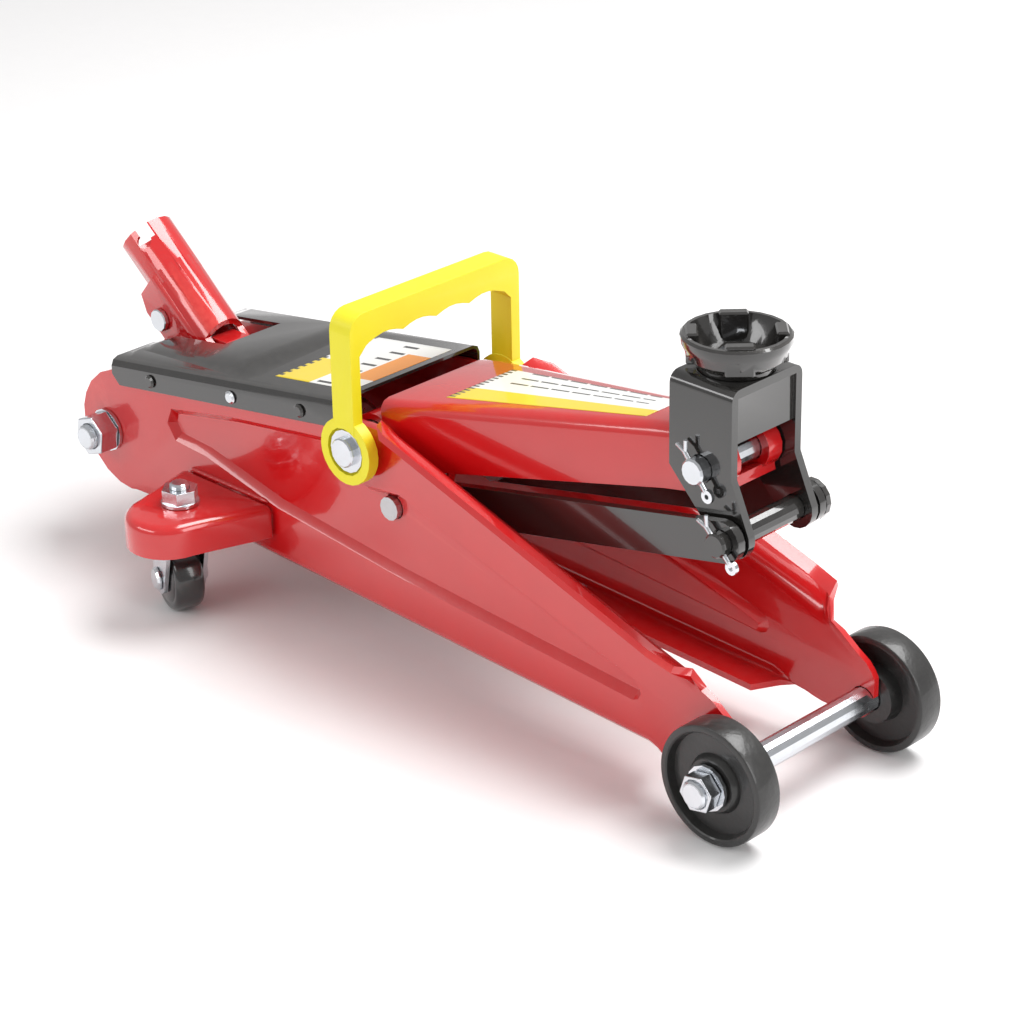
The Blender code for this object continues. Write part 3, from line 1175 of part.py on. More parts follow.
def ram():
    """The piston rod, with a forked end whose riveted pin carries the push link."""
    piston = rod(RAM_RADIUS, CYLINDER_REAR + 18 * MM, RAM_PIN_X - 6 * MM, "X", (0, 0, RAM_HEIGHT), 24)
    clevis = box(RAM_PIN_X - 9 * MM, RAM_PIN_X + 7.5 * MM, -CLEVIS_HALF, CLEVIS_HALF, RAM_HEIGHT - 8.5 * MM,
                 RAM_HEIGHT + 8.5 * MM)
    join(piston, softened(clevis, MM, 1))
    slot = PUSH_LINK_HALF + SIDE_CLEARANCE
    cut(piston, box(RAM_PIN_X - 8 * MM, RAM_PIN_X + 9 * MM, -slot, slot, RAM_HEIGHT - THROUGH,
                    RAM_HEIGHT + THROUGH))
    pin_end = CLEVIS_HALF + 1.5 * MM
    return join(piston, rod(RAM_PIN_RADIUS, -pin_end, pin_end, centre=at(RAM_PIN)))


finish(ram(), "ram", STEEL, (RAM_PIN_X, 0, RAM_HEIGHT))


def push_link():
    """It pushes the arm's lever. Its front eye is a tall slot, which lets the lever's pin rise and fall."""
    front = Vector((LEVER_PIN.x, RAM_HEIGHT))
    outline = arc(RAM_PIN, 7 * MM, 90, 270, 8) + arc(front, 11.5 * MM, -90, 90, 10)
    link = prism(outline, -PUSH_LINK_HALF, PUSH_LINK_HALF)
    wide = LEVER_PIN_RADIUS + PIN_CLEARANCE + 0.5 * MM
    tall = LEVER_LENGTH * (1 - math.cos(math.radians(ARM_SWING_DEG / 2))) / 2
    slot = arc(front + Vector((0, tall)), wide, 0, 180, 8) + arc(front - Vector((0, tall)), wide, 180, 360, 8)
    cut(link, prism(slot, -THROUGH, THROUGH))
    return cut(link, rod(RAM_PIN_RADIUS + PIN_CLEARANCE, -THROUGH, THROUGH, centre=at(RAM_PIN)))


finish(push_link(), "push_link", STEEL, (RAM_PIN_X, 0, RAM_HEIGHT))


# Casters: a welded hood on each side plate, a stud and nut, and a swivelling fork with its wheel

HOOD_REACH = 98.5 * MM
HOOD_DEPTH = 16.0 * MM
FORK_HALF = CASTER_WIDTH / 2 + 0.8 * MM
FORK_SHEET = 2.0 * MM
FORK_TOP = CASTER_TOP - 9.5 * MM
CASTER_X = -CASTER_BACK


def hood_outline(inset, plate_side):
    """The hood seen from above: wide at the side plate, with a round outer end."""
    r = CASTER_END_RADIUS - inset
    end = Vector((CASTER_X + 1.0 * MM, -HOOD_REACH + CASTER_END_RADIUS))
    return [
        Vector((CASTER_X - 30 * MM + inset, plate_side)),
        *arc(end, r, 185, 355, 12),
        Vector((CASTER_X + 34 * MM - inset, plate_side)),
    ]


def caster_hood():
    plate_side = -PLATE_HALF_WIDTH - GAP
    low, high = CASTER_TOP - HOOD_DEPTH, CASTER_TOP
    hood = softened(prism(hood_outline(0.0, plate_side), low - 6 * MM, high, "Z"), 4 * MM, 3)
    cut(hood, box(CASTER_X - THROUGH, CASTER_X + THROUGH, -2 * THROUGH, 0, low - 12 * MM, low))
    cavity = prism(hood_outline(CASTER_SHEET, plate_side + 3 * MM), low - MM, high - CASTER_SHEET, "Z")
    cut(hood, cavity)
    return cut(hood, rod(CASTER_STUD_RADIUS + PIN_CLEARANCE, high - 6 * MM, high + MM, "Z",
                         (CASTER_X, -CASTER_OUT, 0)))


def caster_stud():
    r, head = CASTER_STUD_RADIUS, 7.0 * MM
    under = FORK_TOP - FORK_SHEET - GAP
    hood_under = CASTER_TOP - CASTER_SHEET - GAP
    profile = [(0, under - 2.6 * MM), (head, under - 2.6 * MM), (head, under), (r, under), (r, FORK_TOP + GAP),
               (head, FORK_TOP + GAP), (head, hood_under), (r, hood_under), (r, CASTER_TOP + 9.5 * MM),
               (r - MM, CASTER_TOP + 10.5 * MM), (0, CASTER_TOP + 10.5 * MM)]
    return lathe(profile, 20, "Z", (CASTER_X, -CASTER_OUT, 0))


def caster_nut():
    low = CASTER_TOP + GAP
    corner = NUT_M10_ACROSS / math.sqrt(3)
    nut = prism([polar(corner, 60 * i + 10) for i in range(6)], low + MM, low + 7.5 * MM, "Z")
    join(nut, rod(9.0 * MM, low, low + 1.5 * MM, "Z", segments=24))
    cut(nut, rod(CASTER_STUD_RADIUS + PIN_CLEARANCE, low - MM, low + THROUGH, "Z"))
    return moved(nut, CASTER_X, -CASTER_OUT)


def caster_fork():
    """A bent strap: a flat top round the stud and an arm each side of the wheel."""
    outer = FORK_HALF + FORK_SHEET
    hub = Vector((-CASTER_TRAIL, CASTER_RADIUS))
    fork = box(-11 * MM, 11 * MM, -outer + 0.1 * MM, outer - 0.1 * MM, FORK_TOP - FORK_SHEET, FORK_TOP)
    shoulder = FORK_TOP - 0.5 * MM
    arm = [Vector((-10 * MM, shoulder)), *arc(hub, 7.5 * MM, 180, 345, 8), Vector((10 * MM, shoulder))]
    for low in (-outer, FORK_HALF):
        join(fork, prism(arm, low, low + FORK_SHEET))
    cut(fork, rod(CASTER_STUD_RADIUS + PIN_CLEARANCE, FORK_TOP - THROUGH, FORK_TOP + THROUGH, "Z"))
    return cut(fork, rod(CASTER_AXLE_RADIUS + PIN_CLEARANCE, -THROUGH, THROUGH, centre=at(hub)))


def caster_wheel():
    half, r = CASTER_WIDTH / 2, CASTER_RADIUS
    profile = [(CASTER_AXLE_RADIUS + PIN_CLEARANCE, -half), (r - 5 * MM, -half), (r - 4 * MM, -half + 0.6 * MM),
               (r - 2.2 * MM, -half + 0.4 * MM), (r - 0.6 * MM, -half + 1.6 * MM), (r, -half + 3.4 * MM),
               (r, half - 3.4 * MM), (r - 0.6 * MM, half - 1.6 * MM), (r - 2.2 * MM, half - 0.4 * MM),
               (r - 4 * MM, half - 0.6 * MM), (r - 5 * MM, half), (CASTER_AXLE_RADIUS + PIN_CLEARANCE, half)]
    return lathe(profile, 32, centre=(-CASTER_TRAIL, 0, r))


def caster_axle():
    seat = FORK_HALF + FORK_SHEET + GAP
    head = CASTER_AXLE_RADIUS + 2.0 * MM
    profile = [(0, -seat - 1.8 * MM), (head - MM, -seat - 1.8 * MM), (head, -seat - 0.8 * MM), (head, -seat),
               (CASTER_AXLE_RADIUS, -seat), (CASTER_AXLE_RADIUS, seat), (head, seat), (head, seat + 0.8 * MM),
               (head - MM, seat + 1.8 * MM), (0, seat + 1.8 * MM)]
    return lathe(profile, 18, centre=(-CASTER_TRAIL, 0, CASTER_RADIUS))


def swivelled(shape):
    """Turns a caster piece about its stud, to the way the caster trails at rest."""
    turned_by(shape, -CASTER_YAW_DEG, "Z")
    return moved(shape, CASTER_X, -CASTER_OUT)


for side in (RIGHT, LEFT):
    stud = (CASTER_X, side * CASTER_OUT, 0)
    yaw = math.radians(CASTER_YAW_DEG)
    wheel_y = side * (CASTER_OUT - CASTER_TRAIL * math.sin(yaw))
    wheel_at = (CASTER_X - CASTER_TRAIL * math.cos(yaw), wheel_y, CASTER_RADIUS)
    finish(on_side(caster_hood(), side), side_name("caster_hood", side), RED_PAINT)
    finish(on_side(caster_stud(), side), side_name("caster_stud", side), ZINC, stud)
    finish(on_side(caster_nut(), side), side_name("caster_nut", side), ZINC, stud)
    finish(on_side(swivelled(caster_fork()), side), side_name("caster_fork", side), ZINC, stud)
    finish(on_side(swivelled(caster_wheel()), side), side_name("caster_wheel", side), RUBBER_BLACK, wheel_at)
    finish(on_side(swivelled(caster_axle()), side), side_name("caster_axle", side), ZINC, wheel_at)
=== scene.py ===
import json
import math

import bmesh
import bpy
from mathutils import Matrix, Vector
from mathutils.bvhtree import BVHTree

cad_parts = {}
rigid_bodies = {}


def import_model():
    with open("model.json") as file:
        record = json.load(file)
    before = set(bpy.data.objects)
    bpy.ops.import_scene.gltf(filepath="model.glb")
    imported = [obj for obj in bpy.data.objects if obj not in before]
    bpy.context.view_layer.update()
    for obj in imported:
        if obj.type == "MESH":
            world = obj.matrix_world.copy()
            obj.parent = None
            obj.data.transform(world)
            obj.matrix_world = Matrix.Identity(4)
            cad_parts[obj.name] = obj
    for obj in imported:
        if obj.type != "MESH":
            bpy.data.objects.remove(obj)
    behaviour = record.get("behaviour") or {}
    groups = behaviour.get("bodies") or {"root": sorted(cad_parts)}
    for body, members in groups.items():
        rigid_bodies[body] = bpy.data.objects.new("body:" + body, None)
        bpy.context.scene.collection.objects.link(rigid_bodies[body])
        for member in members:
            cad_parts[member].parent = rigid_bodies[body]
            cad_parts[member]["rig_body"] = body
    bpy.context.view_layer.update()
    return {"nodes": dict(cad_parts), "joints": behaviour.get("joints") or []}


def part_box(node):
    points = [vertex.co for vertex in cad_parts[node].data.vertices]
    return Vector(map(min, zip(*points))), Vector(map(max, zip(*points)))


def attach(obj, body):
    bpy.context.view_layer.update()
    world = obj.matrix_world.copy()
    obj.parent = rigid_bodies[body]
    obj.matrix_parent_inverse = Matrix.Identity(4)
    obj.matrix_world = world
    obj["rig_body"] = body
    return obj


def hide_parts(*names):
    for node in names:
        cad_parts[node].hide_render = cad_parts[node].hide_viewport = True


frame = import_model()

mm = 0.001


# Camera, light and floor.
# A pale sweep under broad soft lamps, seen from the front right and above.

scene = bpy.context.scene
focal_length = 111.4
frame_width = 36.0
camera_place = Vector((0.9168, -0.8865, 0.6765))
lens = bpy.data.cameras.new("camera")
lens.lens = focal_length
lens.sensor_width = frame_width
camera = bpy.data.objects.new("camera", lens)
scene.collection.objects.link(camera)
look_right = Vector((0.71233, 0.701638, -0.017005))
look_up = Vector((-0.293019, 0.319326, 0.901205))
look_back = Vector((0.63775, -0.636973, 0.433059))
turn = Matrix((look_right, look_up, look_back)).transposed()
camera.matrix_world = Matrix.Translation(camera_place) @ turn.to_4x4()
scene.camera = camera
scene.view_settings.view_transform = "Standard"

sky_colour = (1.0, 0.99, 0.99, 1.0)
sky_strength = 0.5
world = bpy.data.worlds.new("studio")
world.use_nodes = True
world.node_tree.nodes["Background"].inputs["Color"].default_value = sky_colour
world.node_tree.nodes["Background"].inputs["Strength"].default_value = sky_strength
scene.world = world


def soft_lamp(name, place, size, watts):
    lamp = bpy.data.lights.new(name, "AREA")
    lamp.shape = "RECTANGLE"
    lamp.size, lamp.size_y = size
    lamp.energy = watts
    made = bpy.data.objects.new(name, lamp)
    made.location = place
    made.rotation_euler = (-Vector(place)).to_track_quat("-Z", "Y").to_euler()
    scene.collection.objects.link(made)


soft_lamp("top_box", (0.35, 0.55, 1.5), (1.1, 0.9), 26.0)
soft_lamp("side_strip", (-0.5, -1.4, 0.8), (1.4, 0.35), 7.0)
soft_lamp("front_box", (1.4, 0.1, 0.7), (0.5, 0.9), 6.0)

floor_half = 4.0
floor_mesh = bpy.data.meshes.new("floor")
shell = bmesh.new()
bmesh.ops.create_grid(shell, x_segments=8, y_segments=8, size=floor_half)
shell.to_mesh(floor_mesh)
shell.free()
floor = bpy.data.objects.new("floor", floor_mesh)
scene.collection.objects.link(floor)


def new_group(name, inputs, outputs):
    """A node group with number inputs and the outputs named, and its two end nodes."""
    group = bpy.data.node_groups.new(name, "ShaderNodeTree")
    for label, value in inputs.items():
        socket = group.interface.new_socket(
            name=label, in_out="INPUT", socket_type="NodeSocketFloat")
        socket.default_value = value
    for label in outputs:
        group.interface.new_socket(
            name=label, in_out="OUTPUT", socket_type="NodeSocketFloat")
    return group, group.nodes.new("NodeGroupInput"), group.nodes.new("NodeGroupOutput")


def noise_in(group, scale, detail=4.0):
    """A noise that sits still on its object, at a scale given by a socket or a number."""
    place = group.nodes.new("ShaderNodeTexCoord")
    noise = group.nodes.new("ShaderNodeTexNoise")
    noise.inputs["Detail"].default_value = detail
    group.links.new(place.outputs["Object"], noise.inputs["Vector"])
    if isinstance(scale, float):
        noise.inputs["Scale"].default_value = scale
    else:
        group.links.new(scale, noise.inputs["Scale"])
    return noise.outputs["Fac"]


def worked(group, operation, first, second):
    node = group.nodes.new("ShaderNodeMath")
    node.operation = operation
    for slot_number, value in enumerate((first, second)):
        if isinstance(value, float):
            node.inputs[slot_number].default_value = value
        else:
            group.links.new(value, node.inputs[slot_number])
    return node.outputs[0]


# Surface effects that the finishes share: a mottled skin, worn edges and settled dust.
mottle, ends_in, ends_out = new_group(
    "mottle", {"Scale": 60.0, "Low": 0.2, "High": 0.3}, ["Value"])
patch = noise_in(mottle, ends_in.outputs["Scale"])
spread = worked(mottle, "SUBTRACT", ends_in.outputs["High"], ends_in.outputs["Low"])
lifted = worked(mottle, "ADD", worked(mottle, "MULTIPLY", patch, spread), ends_in.outputs["Low"])
mottle.links.new(lifted, ends_out.inputs["Value"])

skin, ends_in, ends_out = new_group("skin", {"Scale": 900.0, "Coarse": 0.3}, ["Height"])
fine = noise_in(skin, ends_in.outputs["Scale"], 2.0)
broad = noise_in(skin, 160.0, 1.0)
total = worked(skin, "ADD", fine, worked(skin, "MULTIPLY", broad, ends_in.outputs["Coarse"]))
skin.links.new(total, ends_out.inputs["Height"])

edge_wear, ends_in, ends_out = new_group("edge wear", {"Start": 0.56, "Amount": 6.0}, ["Mask"])
shape = edge_wear.nodes.new("ShaderNodeNewGeometry")
above = worked(edge_wear, "SUBTRACT", shape.outputs["Pointiness"], ends_in.outputs["Start"])
broken = worked(edge_wear, "MULTIPLY", above, noise_in(edge_wear, 420.0))
strong = worked(edge_wear, "MULTIPLY", broken, ends_in.outputs["Amount"])
held = worked(edge_wear, "MINIMUM", worked(edge_wear, "MAXIMUM", strong, 0.0), 1.0)
edge_wear.links.new(held, ends_out.inputs["Mask"])

dust, ends_in, ends_out = new_group("dust", {"Amount": 0.05}, ["Mask"])
shape = dust.nodes.new("ShaderNodeNewGeometry")
split = dust.nodes.new("ShaderNodeSeparateXYZ")
dust.links.new(shape.outputs["Normal"], split.inputs[0])
facing_up = worked(dust, "MAXIMUM", split.outputs["Z"], 0.0)
speckled = worked(dust, "MULTIPLY", facing_up, noise_in(dust, 240.0))
settled = worked(dust, "MULTIPLY", speckled, ends_in.outputs["Amount"])
dust.links.new(settled, ends_out.inputs["Mask"])


def surface(name, colour, other, worn, rough, bump, scale,
            metallic=0.0, coat=0.0, coarse=0.3, grain=60.0):
    """A finish that drifts between two tones, wears at its edges and has a skin of its own."""
    coat_roughness = 0.04
    skin_depth = 0.2 * mm
    dust_colour = (0.55, 0.53, 0.5)
    patches_finer = 2.5
    made = bpy.data.materials.new(name)
    made.use_nodes = True
    tree = made.node_tree
    shader = tree.nodes["Principled BSDF"]
    shader.inputs["Metallic"].default_value = metallic
    shader.inputs["Coat Weight"].default_value = coat
    shader.inputs["Coat Roughness"].default_value = coat_roughness

    def placed(group, **values):
        node = tree.nodes.new("ShaderNodeGroup")
        node.node_tree = group
        for label, value in values.items():
            node.inputs[label].default_value = value
        return node

    def blended(mask, first, second):
        mix = tree.nodes.new("ShaderNodeMix")
        mix.data_type = "RGBA"
        tree.links.new(mask, mix.inputs["Factor"])
        for socket, value in ((mix.inputs["A"], first), (mix.inputs["B"], second)):
            if isinstance(value, tuple):
                socket.default_value = (*value, 1.0)
            else:
                tree.links.new(value, socket)
        return mix.outputs["Result"]

    tone = placed(mottle, Scale=grain, Low=0.0, High=1.0).outputs["Value"]
    drift = blended(tone, colour, other)
    wear = blended(placed(edge_wear).outputs["Mask"], drift, worn)
    dusted = blended(placed(dust).outputs["Mask"], wear, dust_colour)
    tree.links.new(dusted, shader.inputs["Base Color"])
    gloss = placed(mottle, Scale=grain * patches_finer, Low=rough[0], High=rough[1])
    tree.links.new(gloss.outputs["Value"], shader.inputs["Roughness"])
    relief = tree.nodes.new("ShaderNodeBump")
    relief.inputs["Strength"].default_value = bump
    relief.inputs["Distance"].default_value = skin_depth
    height = placed(skin, Scale=scale, Coarse=coarse).outputs["Height"]
    tree.links.new(height, relief.inputs["Height"])
    tree.links.new(relief.outputs["Normal"], shader.inputs["Normal"])
    return made


floor_finish = surface(
    "pale_floor", (0.93, 0.925, 0.925), (0.95, 0.945, 0.945), (0.94, 0.94, 0.94),
    (0.6, 0.75), 0.05, 200.0)
floor_mesh.materials.append(floor_finish)


# Side plates.
# Each is one pressed steel sheet with a flared top flange and a recess.
# It is sprayed in gloss red enamel.

red_enamel = surface("red_enamel", (0.64, 0.006, 0.008), (0.56, 0.004, 0.006), (0.75, 0.05, 0.04),
                     (0.16, 0.26), 0.10, 700.0, coat=1.0)


def link_piece(name, mesh, finish, body):
    """Puts a finished mesh in the scene, gives it its finish and lets it ride on its body."""
    piece = bpy.data.objects.new(name, mesh)
    scene.collection.objects.link(piece)
    mesh.materials.clear()
    mesh.materials.append(finish)
    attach(piece, body)
    return piece


def eased(node, finish, width, angle=38):
    """The frame's own shape with its edges rolled over, as a press or a mould leaves them."""
    same_point = 0.002 * mm
    flat_within = math.radians(0.5)
    source = frame["nodes"][node]
    bm = bmesh.new()
    bm.from_mesh(source.data)
    bmesh.ops.remove_doubles(bm, verts=bm.verts, dist=same_point)
    bmesh.ops.dissolve_limit(bm, angle_limit=flat_within, verts=bm.verts, edges=bm.edges)
    bmesh.ops.recalc_face_normals(bm, faces=bm.faces)
    mesh = bpy.data.meshes.new(f"{node}_shown")
    bm.to_mesh(mesh)
    bm.free()
    mesh.shade_smooth()
    mesh.set_sharp_from_angle(angle=math.radians(angle))
    piece = link_piece(f"{node}_shown", mesh, finish, source["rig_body"])
    roll = piece.modifiers.new("rolled edges", "BEVEL")
    roll.width = width
    roll.segments = 3
    roll.limit_method = "ANGLE"
    roll.angle_limit = math.radians(angle)
    roll.use_clamp_overlap = True
    roll.harden_normals = True
    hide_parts(node)


for side in ("right", "left"):
    eased(f"side_plate_{side}", red_enamel, 0.5 * mm)


# Front axle, wheels, washers and nuts.
# Rough iron wheels painted black turn on a plated axle.
# A washer and a hexagon nut hold each one.

black_casting = surface(
    "black_casting", (0.012, 0.012, 0.012), (0.022, 0.021, 0.020), (0.08, 0.075, 0.07),
    (0.3, 0.5), 0.9, 420.0, coarse=1.4, coat=0.3)
bright_plate = surface("bright_plate", (0.72, 0.75, 0.80), (0.62, 0.64, 0.66), (0.85, 0.86, 0.88),
                       (0.14, 0.32), 0.12, 500.0, metallic=1.0, grain=140.0)


def turned(name, profile, centre, axis, sides=96):
    """A mesh turned from a closed loop of (radius, height) about an axis through its centre."""
    crease = math.radians(34)
    bm = bmesh.new()
    rings = []
    for radius, height in profile:
        angles = [math.tau * i / sides for i in range(sides)]
        ring = [(radius * math.cos(a), radius * math.sin(a), height) for a in angles]
        rings.append([bm.verts.new(place) for place in ring])
    for first, second in zip(rings, rings[1:] + rings[:1]):
        for i in range(sides):
            j = (i + 1) % sides
            bm.faces.new((first[i], first[j], second[j], second[i]))
    bmesh.ops.recalc_face_normals(bm, faces=bm.faces)
    mesh = bpy.data.meshes.new(name)
    bm.to_mesh(mesh)
    bm.free()
    swing = Vector((0, 0, 1)).rotation_difference(Vector(axis))
    mesh.transform(Matrix.Translation(centre) @ swing.to_matrix().to_4x4())
    mesh.shade_smooth()
    mesh.set_sharp_from_angle(angle=crease)
    return mesh


bore = 6.35 * mm
hub = 12.0 * mm
hub_proud = 2.2 * mm
rim_wall = 3.0 * mm
web_share = 0.3
for side, outward in (("right", -1), ("left", 1)):
    low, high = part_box(f"front_wheel_{side}")
    middle = (low + high) / 2
    reach = (high.z - low.z) / 2
    inner_low, inner_high = (low.y, high.y) if outward < 0 else (-high.y, -low.y)
    centre = Vector((middle.x, 0.0, middle.z))
    outer, inner = inner_low, inner_high - hub_proud
    web = web_share * (inner - outer)
    rim = reach - rim_wall
    profile = [
        (bore, outer + 1.0 * mm), (hub - 0.6 * mm, outer + 1.0 * mm), (hub, outer + 1.5 * mm),
        (hub + 1.2 * mm, outer + web), (rim - 1.4 * mm, outer + web),
        (rim - 0.4 * mm, outer + 0.5 * mm),
        (rim + 0.2 * mm, outer), (reach - 1.0 * mm, outer), (reach - 0.3 * mm, outer + 0.4 * mm),
        (reach, outer + 1.2 * mm), (reach, inner - 1.2 * mm), (reach - 0.3 * mm, inner - 0.4 * mm),
        (reach - 1.0 * mm, inner), (rim, inner), (rim - 1.2 * mm, inner - web),
        (hub + 1.2 * mm, inner - web), (hub, inner + hub_proud), (bore, inner + hub_proud),
    ]
    mesh = turned(f"front_wheel_{side}_shown", profile, centre, (0, -outward, 0))
    wheel = link_piece(f"front_wheel_{side}_shown", mesh, black_casting,
                       f"front_wheel_{side}")
    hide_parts(f"front_wheel_{side}")
    eased(f"front_nut_{side}", bright_plate, 0.5 * mm, 28)
    eased(f"rear_nut_{side}", bright_plate, 0.6 * mm, 28)


def ridged_end(name, body, centre, axis, radius, low, high, pitch):
    """The threaded end of a bolt or stud, which stands a little proud of its nut."""
    profile = [(radius - 0.9 * mm, low)]
    height = low
    while height < high - pitch:
        profile += [(radius - 0.35 * pitch, height), (radius + 0.05 * mm, height + 0.5 * pitch)]
        height += pitch
    profile += [(radius - 0.35 * pitch, height), (radius - 0.7 * mm, high)]
    profile.append((radius - 0.9 * mm, high))
    mesh = turned(name, profile, centre, axis, 48)
    link_piece(name, mesh, bright_plate, body)


bolt_radius = 6.0 * mm
bolt_pitch = 1.0 * mm
bolt_thread = 3.6 * mm
for node in ("front_axle", "rear_bolt"):
    low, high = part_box(node)
    centre = Vector(((low.x + high.x) / 2, 0.0, (low.z + high.z) / 2))
    for side, outward in (("right", -1), ("left", 1)):
        ridged_end(f"{node}_thread_{side}", "frame", centre, (0, outward, 0), bolt_radius,
                   high.y - bolt_thread, high.y - 0.1 * mm, bolt_pitch)


# Lifting arm, its shaft and the parallel links.
# A red welded channel swings on a steel shaft.
# A black flat link on each side of it keeps the saddle level.

machined = surface("machined_steel", (0.55, 0.55, 0.56), (0.46, 0.46, 0.47), (0.7, 0.7, 0.71),
                   (0.22, 0.38), 0.18, 600.0, metallic=1.0, grain=180.0)
black_enamel = surface(
    "black_enamel", (0.013, 0.012, 0.011), (0.018, 0.017, 0.016), (0.06, 0.055, 0.05),
    (0.12, 0.2), 0.10, 520.0, coat=1.0)

eased("lift_arm", red_enamel, 0.5 * mm)
for side in ("right", "left"):
    eased(f"parallel_link_{side}", black_enamel, 0.5 * mm)


def refinished(finish, *nodes):
    """Gives the frame's own pieces a finish of their own."""
    for node in nodes:
        mesh = frame["nodes"][node].data
        mesh.materials.clear()
        mesh.materials.append(finish)


refinished(machined, "arm_shaft", "link_stud_right", "link_stud_left")
refinished(bright_plate, "front_axle", "rear_bolt", "rear_washer_right", "rear_washer_left",
           "front_washer_right", "front_washer_left")


def weld_bead(name, points, radius, body, finish):
    """A bead laid along a joint in small overlapping ripples, and painted over."""
    ripple_height = 0.12
    ripple_step = 1.9
    bm = bmesh.new()
    rings = []
    sides = 10
    count = len(points)
    for i, point in enumerate(points):
        before = points[max(i - 1, 0)]
        after = points[min(i + 1, count - 1)]
        heading = (after - before).normalized()
        across = heading.orthogonal().normalized()
        up = heading.cross(across)
        taper = min(1.0, 0.35 + 0.5 * min(i, count - 1 - i))
        swell = radius * taper * (1.0 + ripple_height * math.sin(ripple_step * i))
        ring = []
        for k in range(sides):
            angle = math.tau * k / sides
            around = across * math.cos(angle) + up * math.sin(angle)
            ring.append(bm.verts.new(point + swell * around))
        rings.append(ring)
    for first, second in zip(rings, rings[1:]):
        for k in range(sides):
            m = (k + 1) % sides
            bm.faces.new((first[k], first[m], second[m], second[k]))
    bm.faces.new(rings[0])
    bm.faces.new(rings[-1])
    bmesh.ops.recalc_face_normals(bm, faces=bm.faces)
    mesh = bpy.data.meshes.new(name)
    bm.to_mesh(mesh)
    bm.free()
    mesh.shade_smooth()
    link_piece(name, mesh, finish, body)


# Saddle, its bracket, rivet and pins.
# A black bracket swivels on plated pins, and carries a turned cup with four lugs on one rivet.

eased("saddle_bracket", black_enamel, 0.6 * mm)
eased("saddle", black_enamel, 0.5 * mm, 30)
refinished(black_enamel, "lower_pin")
refinished(bright_plate, "upper_pin", "upper_cotter_pin", "lower_cotter_pin", "saddle_rivet")


# Cover and its screws.
# A thin black tray is screwed over the plates, with a raised pan round the opening for the socket.

eased("cover", black_enamel, 0.4 * mm)
refinished(black_enamel, "cover_screw_1_right", "cover_screw_1_left",
           "cover_screw_3_right", "cover_screw_3_left")
refinished(bright_plate, "cover_screw_2_right", "cover_screw_2_left")


# Labels.
# Two plain printed labels with no words lie on the cover and on the arm.
# They are white paper with bands of colour.

label_paper = surface("label_paper", (0.86, 0.86, 0.84), (0.80, 0.80, 0.79), (0.9, 0.9, 0.9),
                      (0.32, 0.45), 0.06, 400.0, coat=0.4)
label_yellow = surface("label_yellow", (0.86, 0.66, 0.03), (0.80, 0.60, 0.03), (0.9, 0.7, 0.1),
                       (0.32, 0.45), 0.06, 400.0, coat=0.4)
label_orange = surface("label_orange", (0.83, 0.30, 0.03), (0.76, 0.27, 0.03), (0.9, 0.4, 0.1),
                       (0.32, 0.45), 0.06, 400.0, coat=0.4)
label_black = surface("label_black", (0.03, 0.03, 0.03), (0.05, 0.05, 0.05), (0.1, 0.1, 0.1),
                      (0.32, 0.45), 0.06, 400.0, coat=0.4)


label_columns = 28


def printed_label(name, node, start, end, half_near, half_far, bands):
    """A label smoothed over a surface. bands(u, v) picks the ink that each small patch is in."""
    above_all = 0.4
    lift = 0.14 * mm
    paper = 0.1 * mm
    body = frame["nodes"][node]["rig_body"]
    metal = frame["nodes"][node].data
    corners = [v.co for v in metal.vertices]
    target = BVHTree.FromPolygons(corners, [p.vertices for p in metal.polygons])
    along, across = 60, label_columns
    bm = bmesh.new()
    grid = []
    for i in range(along + 1):
        u = i / along
        half = half_near + (half_far - half_near) * u
        row = []
        for j in range(across + 1):
            v = j / across
            x = start + (end - start) * u
            y = -half + 2 * half * v
            place = target.ray_cast(Vector((x, y, above_all)), Vector((0, 0, -1)))[0]
            row.append(bm.verts.new(place + Vector((0, 0, lift))))
        grid.append(row)
    for i in range(along):
        for j in range(across):
            loop = (grid[i][j], grid[i + 1][j], grid[i + 1][j + 1], grid[i][j + 1])
            face = bm.faces.new(loop)
            face.material_index = bands((i + 0.5) / along, (j + 0.5) / across)
    mesh = bpy.data.meshes.new(name)
    bm.to_mesh(mesh)
    bm.free()
    mesh.shade_smooth()
    indices = [polygon.material_index for polygon in mesh.polygons]
    piece = link_piece(name, mesh, label_paper, body)
    for ink in (label_yellow, label_orange, label_black):
        mesh.materials.append(ink)
    mesh.polygons.foreach_set("material_index", indices)
    thickness = piece.modifiers.new("paper", "SOLIDIFY")
    thickness.thickness = paper
    thickness.offset = -1.0


def cover_bands(u, v):
    """Hatching at the rear edge, yellow at the right rear, then white, and orange in front."""
    if u < 0.05 and int(v * label_columns) % 2:
        return 3
    if u < 0.45 and v < 0.45:
        return 1
    if u > 0.72 and 0.2 < v < 0.8:
        return 2
    if 0.5 < u < 0.68 and int(v * label_columns) % 4 == 1:
        return 3
    return 0


def arm_bands(u, v):
    """Hatching at the rear edge, a yellow band along the right and ruled lines on the white."""
    if u < 0.03 and int(v * label_columns) % 2:
        return 3
    if v < 0.36:
        return 1
    ruled = int(v * label_columns) % 5 == 2 and int(u * 60) % 7
    if 0.12 < u < 0.9 and v > 0.45 and ruled:
        return 3
    return 0


cover_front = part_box("cover")[1].x
cover_half = 31 * mm
printed_label("cover_label", "cover", cover_front - 56 * mm, cover_front - 5 * mm,
              cover_half, cover_half, cover_bands)
arm_low, arm_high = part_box("lift_arm")
arm_length = arm_high.x - arm_low.x
label_start = arm_low.x + 0.24 * arm_length
label_end = arm_low.x + 0.76 * arm_length
printed_label("arm_label", "lift_arm", label_start, label_end, 20.5 * mm, 10.5 * mm, arm_bands)


# Carrying handle and its bolts.
# One yellow moulding with finger hollows under its grip, held by a plated bolt at each foot.

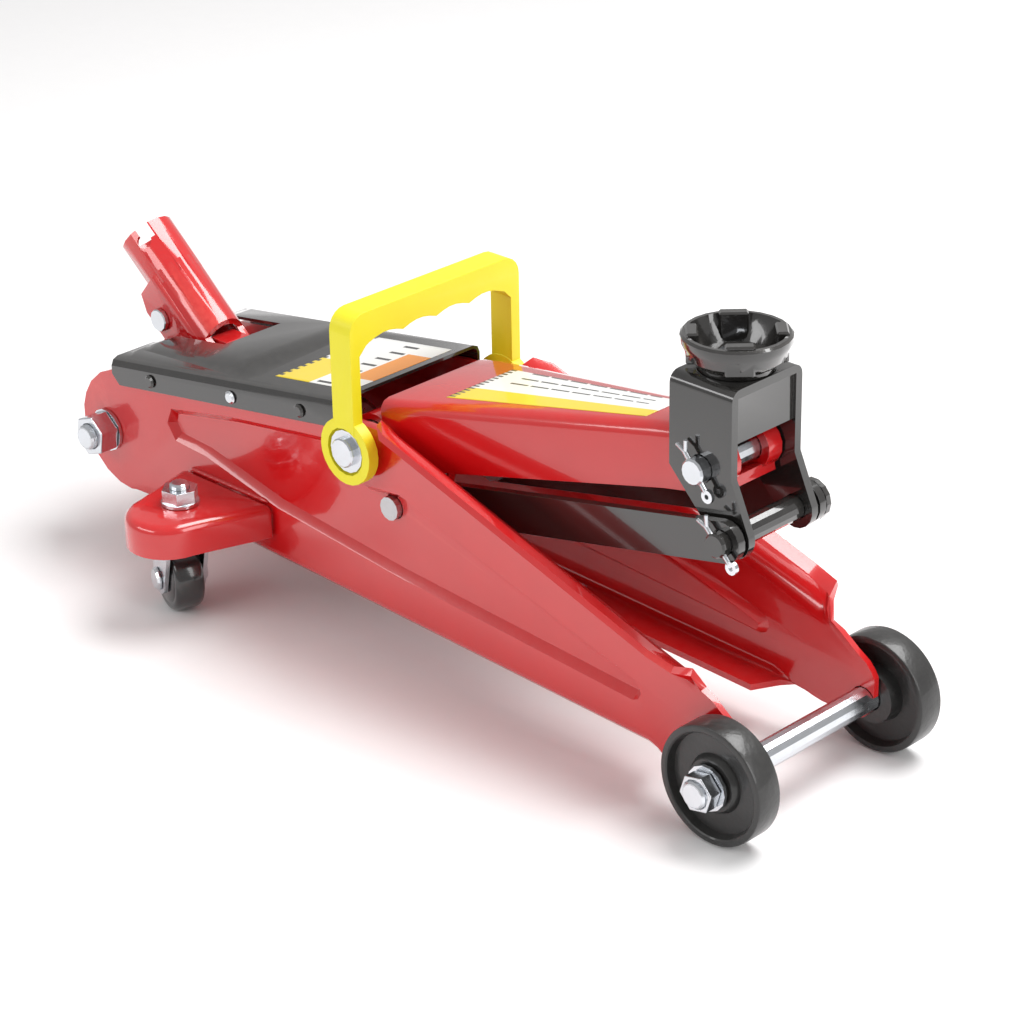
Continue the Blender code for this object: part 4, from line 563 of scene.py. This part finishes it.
yellow_moulding = surface(
    "yellow_moulding", (0.86, 0.79, 0.015), (0.82, 0.73, 0.015), (0.9, 0.84, 0.1),
    (0.34, 0.46), 0.10, 360.0)
eased("carry_handle", yellow_moulding, 0.9 * mm)
refinished(bright_plate, "handle_bolt_right", "handle_bolt_left")


# Pump: handle socket and its pins, block, cylinder, ram, plunger and release valve.
# The red socket rocks on a pin in the block's lug, and its roller presses a sprung steel plunger.

eased("handle_socket", red_enamel, 0.5 * mm)
eased("pump_block", red_enamel, 0.5 * mm)
refinished(bright_plate, "socket_pin", "fulcrum_pin", "release_valve")
refinished(machined, "pump_roller", "pump_plunger", "pump_spring", "cylinder", "ram", "push_link")


# Casters: hoods, studs, nuts, forks, axles and wheels.
# A red hood is welded to each side plate.
# A plated fork swivels on its stud with a gloss black wheel.

gloss_tread = surface(
    "gloss_tread", (0.014, 0.014, 0.014), (0.022, 0.022, 0.022), (0.05, 0.05, 0.05),
    (0.14, 0.26), 0.16, 380.0, coat=0.6)
stud_radius = 4.5 * mm
stud_thread = 2.9 * mm
stud_pitch = 0.8 * mm
reach, half, bore = 16.5 * mm, 7.5 * mm, 3.85 * mm
plate_face = 42.6 * mm
weld_inset = 4 * mm
weld_steps = 40

for side, outward in (("right", -1), ("left", 1)):
    eased(f"caster_hood_{side}", red_enamel, 0.5 * mm)
    eased(f"caster_nut_{side}", bright_plate, 0.5 * mm, 28)
    eased(f"caster_fork_{side}", bright_plate, 0.4 * mm)
    refinished(bright_plate, f"caster_stud_{side}", f"caster_axle_{side}")
    low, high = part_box(f"caster_stud_{side}")
    middle = (low + high) / 2
    ridged_end(f"caster_thread_{side}", "frame", Vector((middle.x, middle.y, 0.0)), (0, 0, 1),
               stud_radius, high.z - stud_thread, high.z - 0.1 * mm, stud_pitch)
    joint = next(j for j in frame["joints"] if j["child"] == f"caster_wheel_{side}")
    hub_place = Vector(joint["pos_m"])
    edge = [(reach - 5.0 * mm, 0.0), (reach - 4.0 * mm, 0.6 * mm), (reach - 2.2 * mm, 0.4 * mm),
            (reach - 1.2 * mm, 0.9 * mm), (reach - 0.5 * mm, 1.8 * mm), (reach, 3.4 * mm)]
    profile = [(bore, -half)] + [(r, -half + rise) for r, rise in edge]
    profile += [(r, half - rise) for r, rise in reversed(edge)] + [(bore, half)]
    mesh = turned(f"caster_wheel_{side}_shown", profile, hub_place, Vector(joint["axis"]), 72)
    wheel = link_piece(f"caster_wheel_{side}_shown", mesh, gloss_tread,
                       f"caster_wheel_{side}")
    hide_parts(f"caster_wheel_{side}")
    hood_low, hood_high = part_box(f"caster_hood_{side}")
    wall = outward * plate_face
    first_x = hood_low.x + weld_inset
    length = hood_high.x - hood_low.x - 2 * weld_inset
    on_top = hood_high.z + 0.1 * mm
    path = [Vector((first_x + length * i / weld_steps, wall, on_top))
            for i in range(weld_steps + 1)]
    weld_bead(f"hood_weld_{side}", path, 1.2 * mm, "frame", red_enamel)
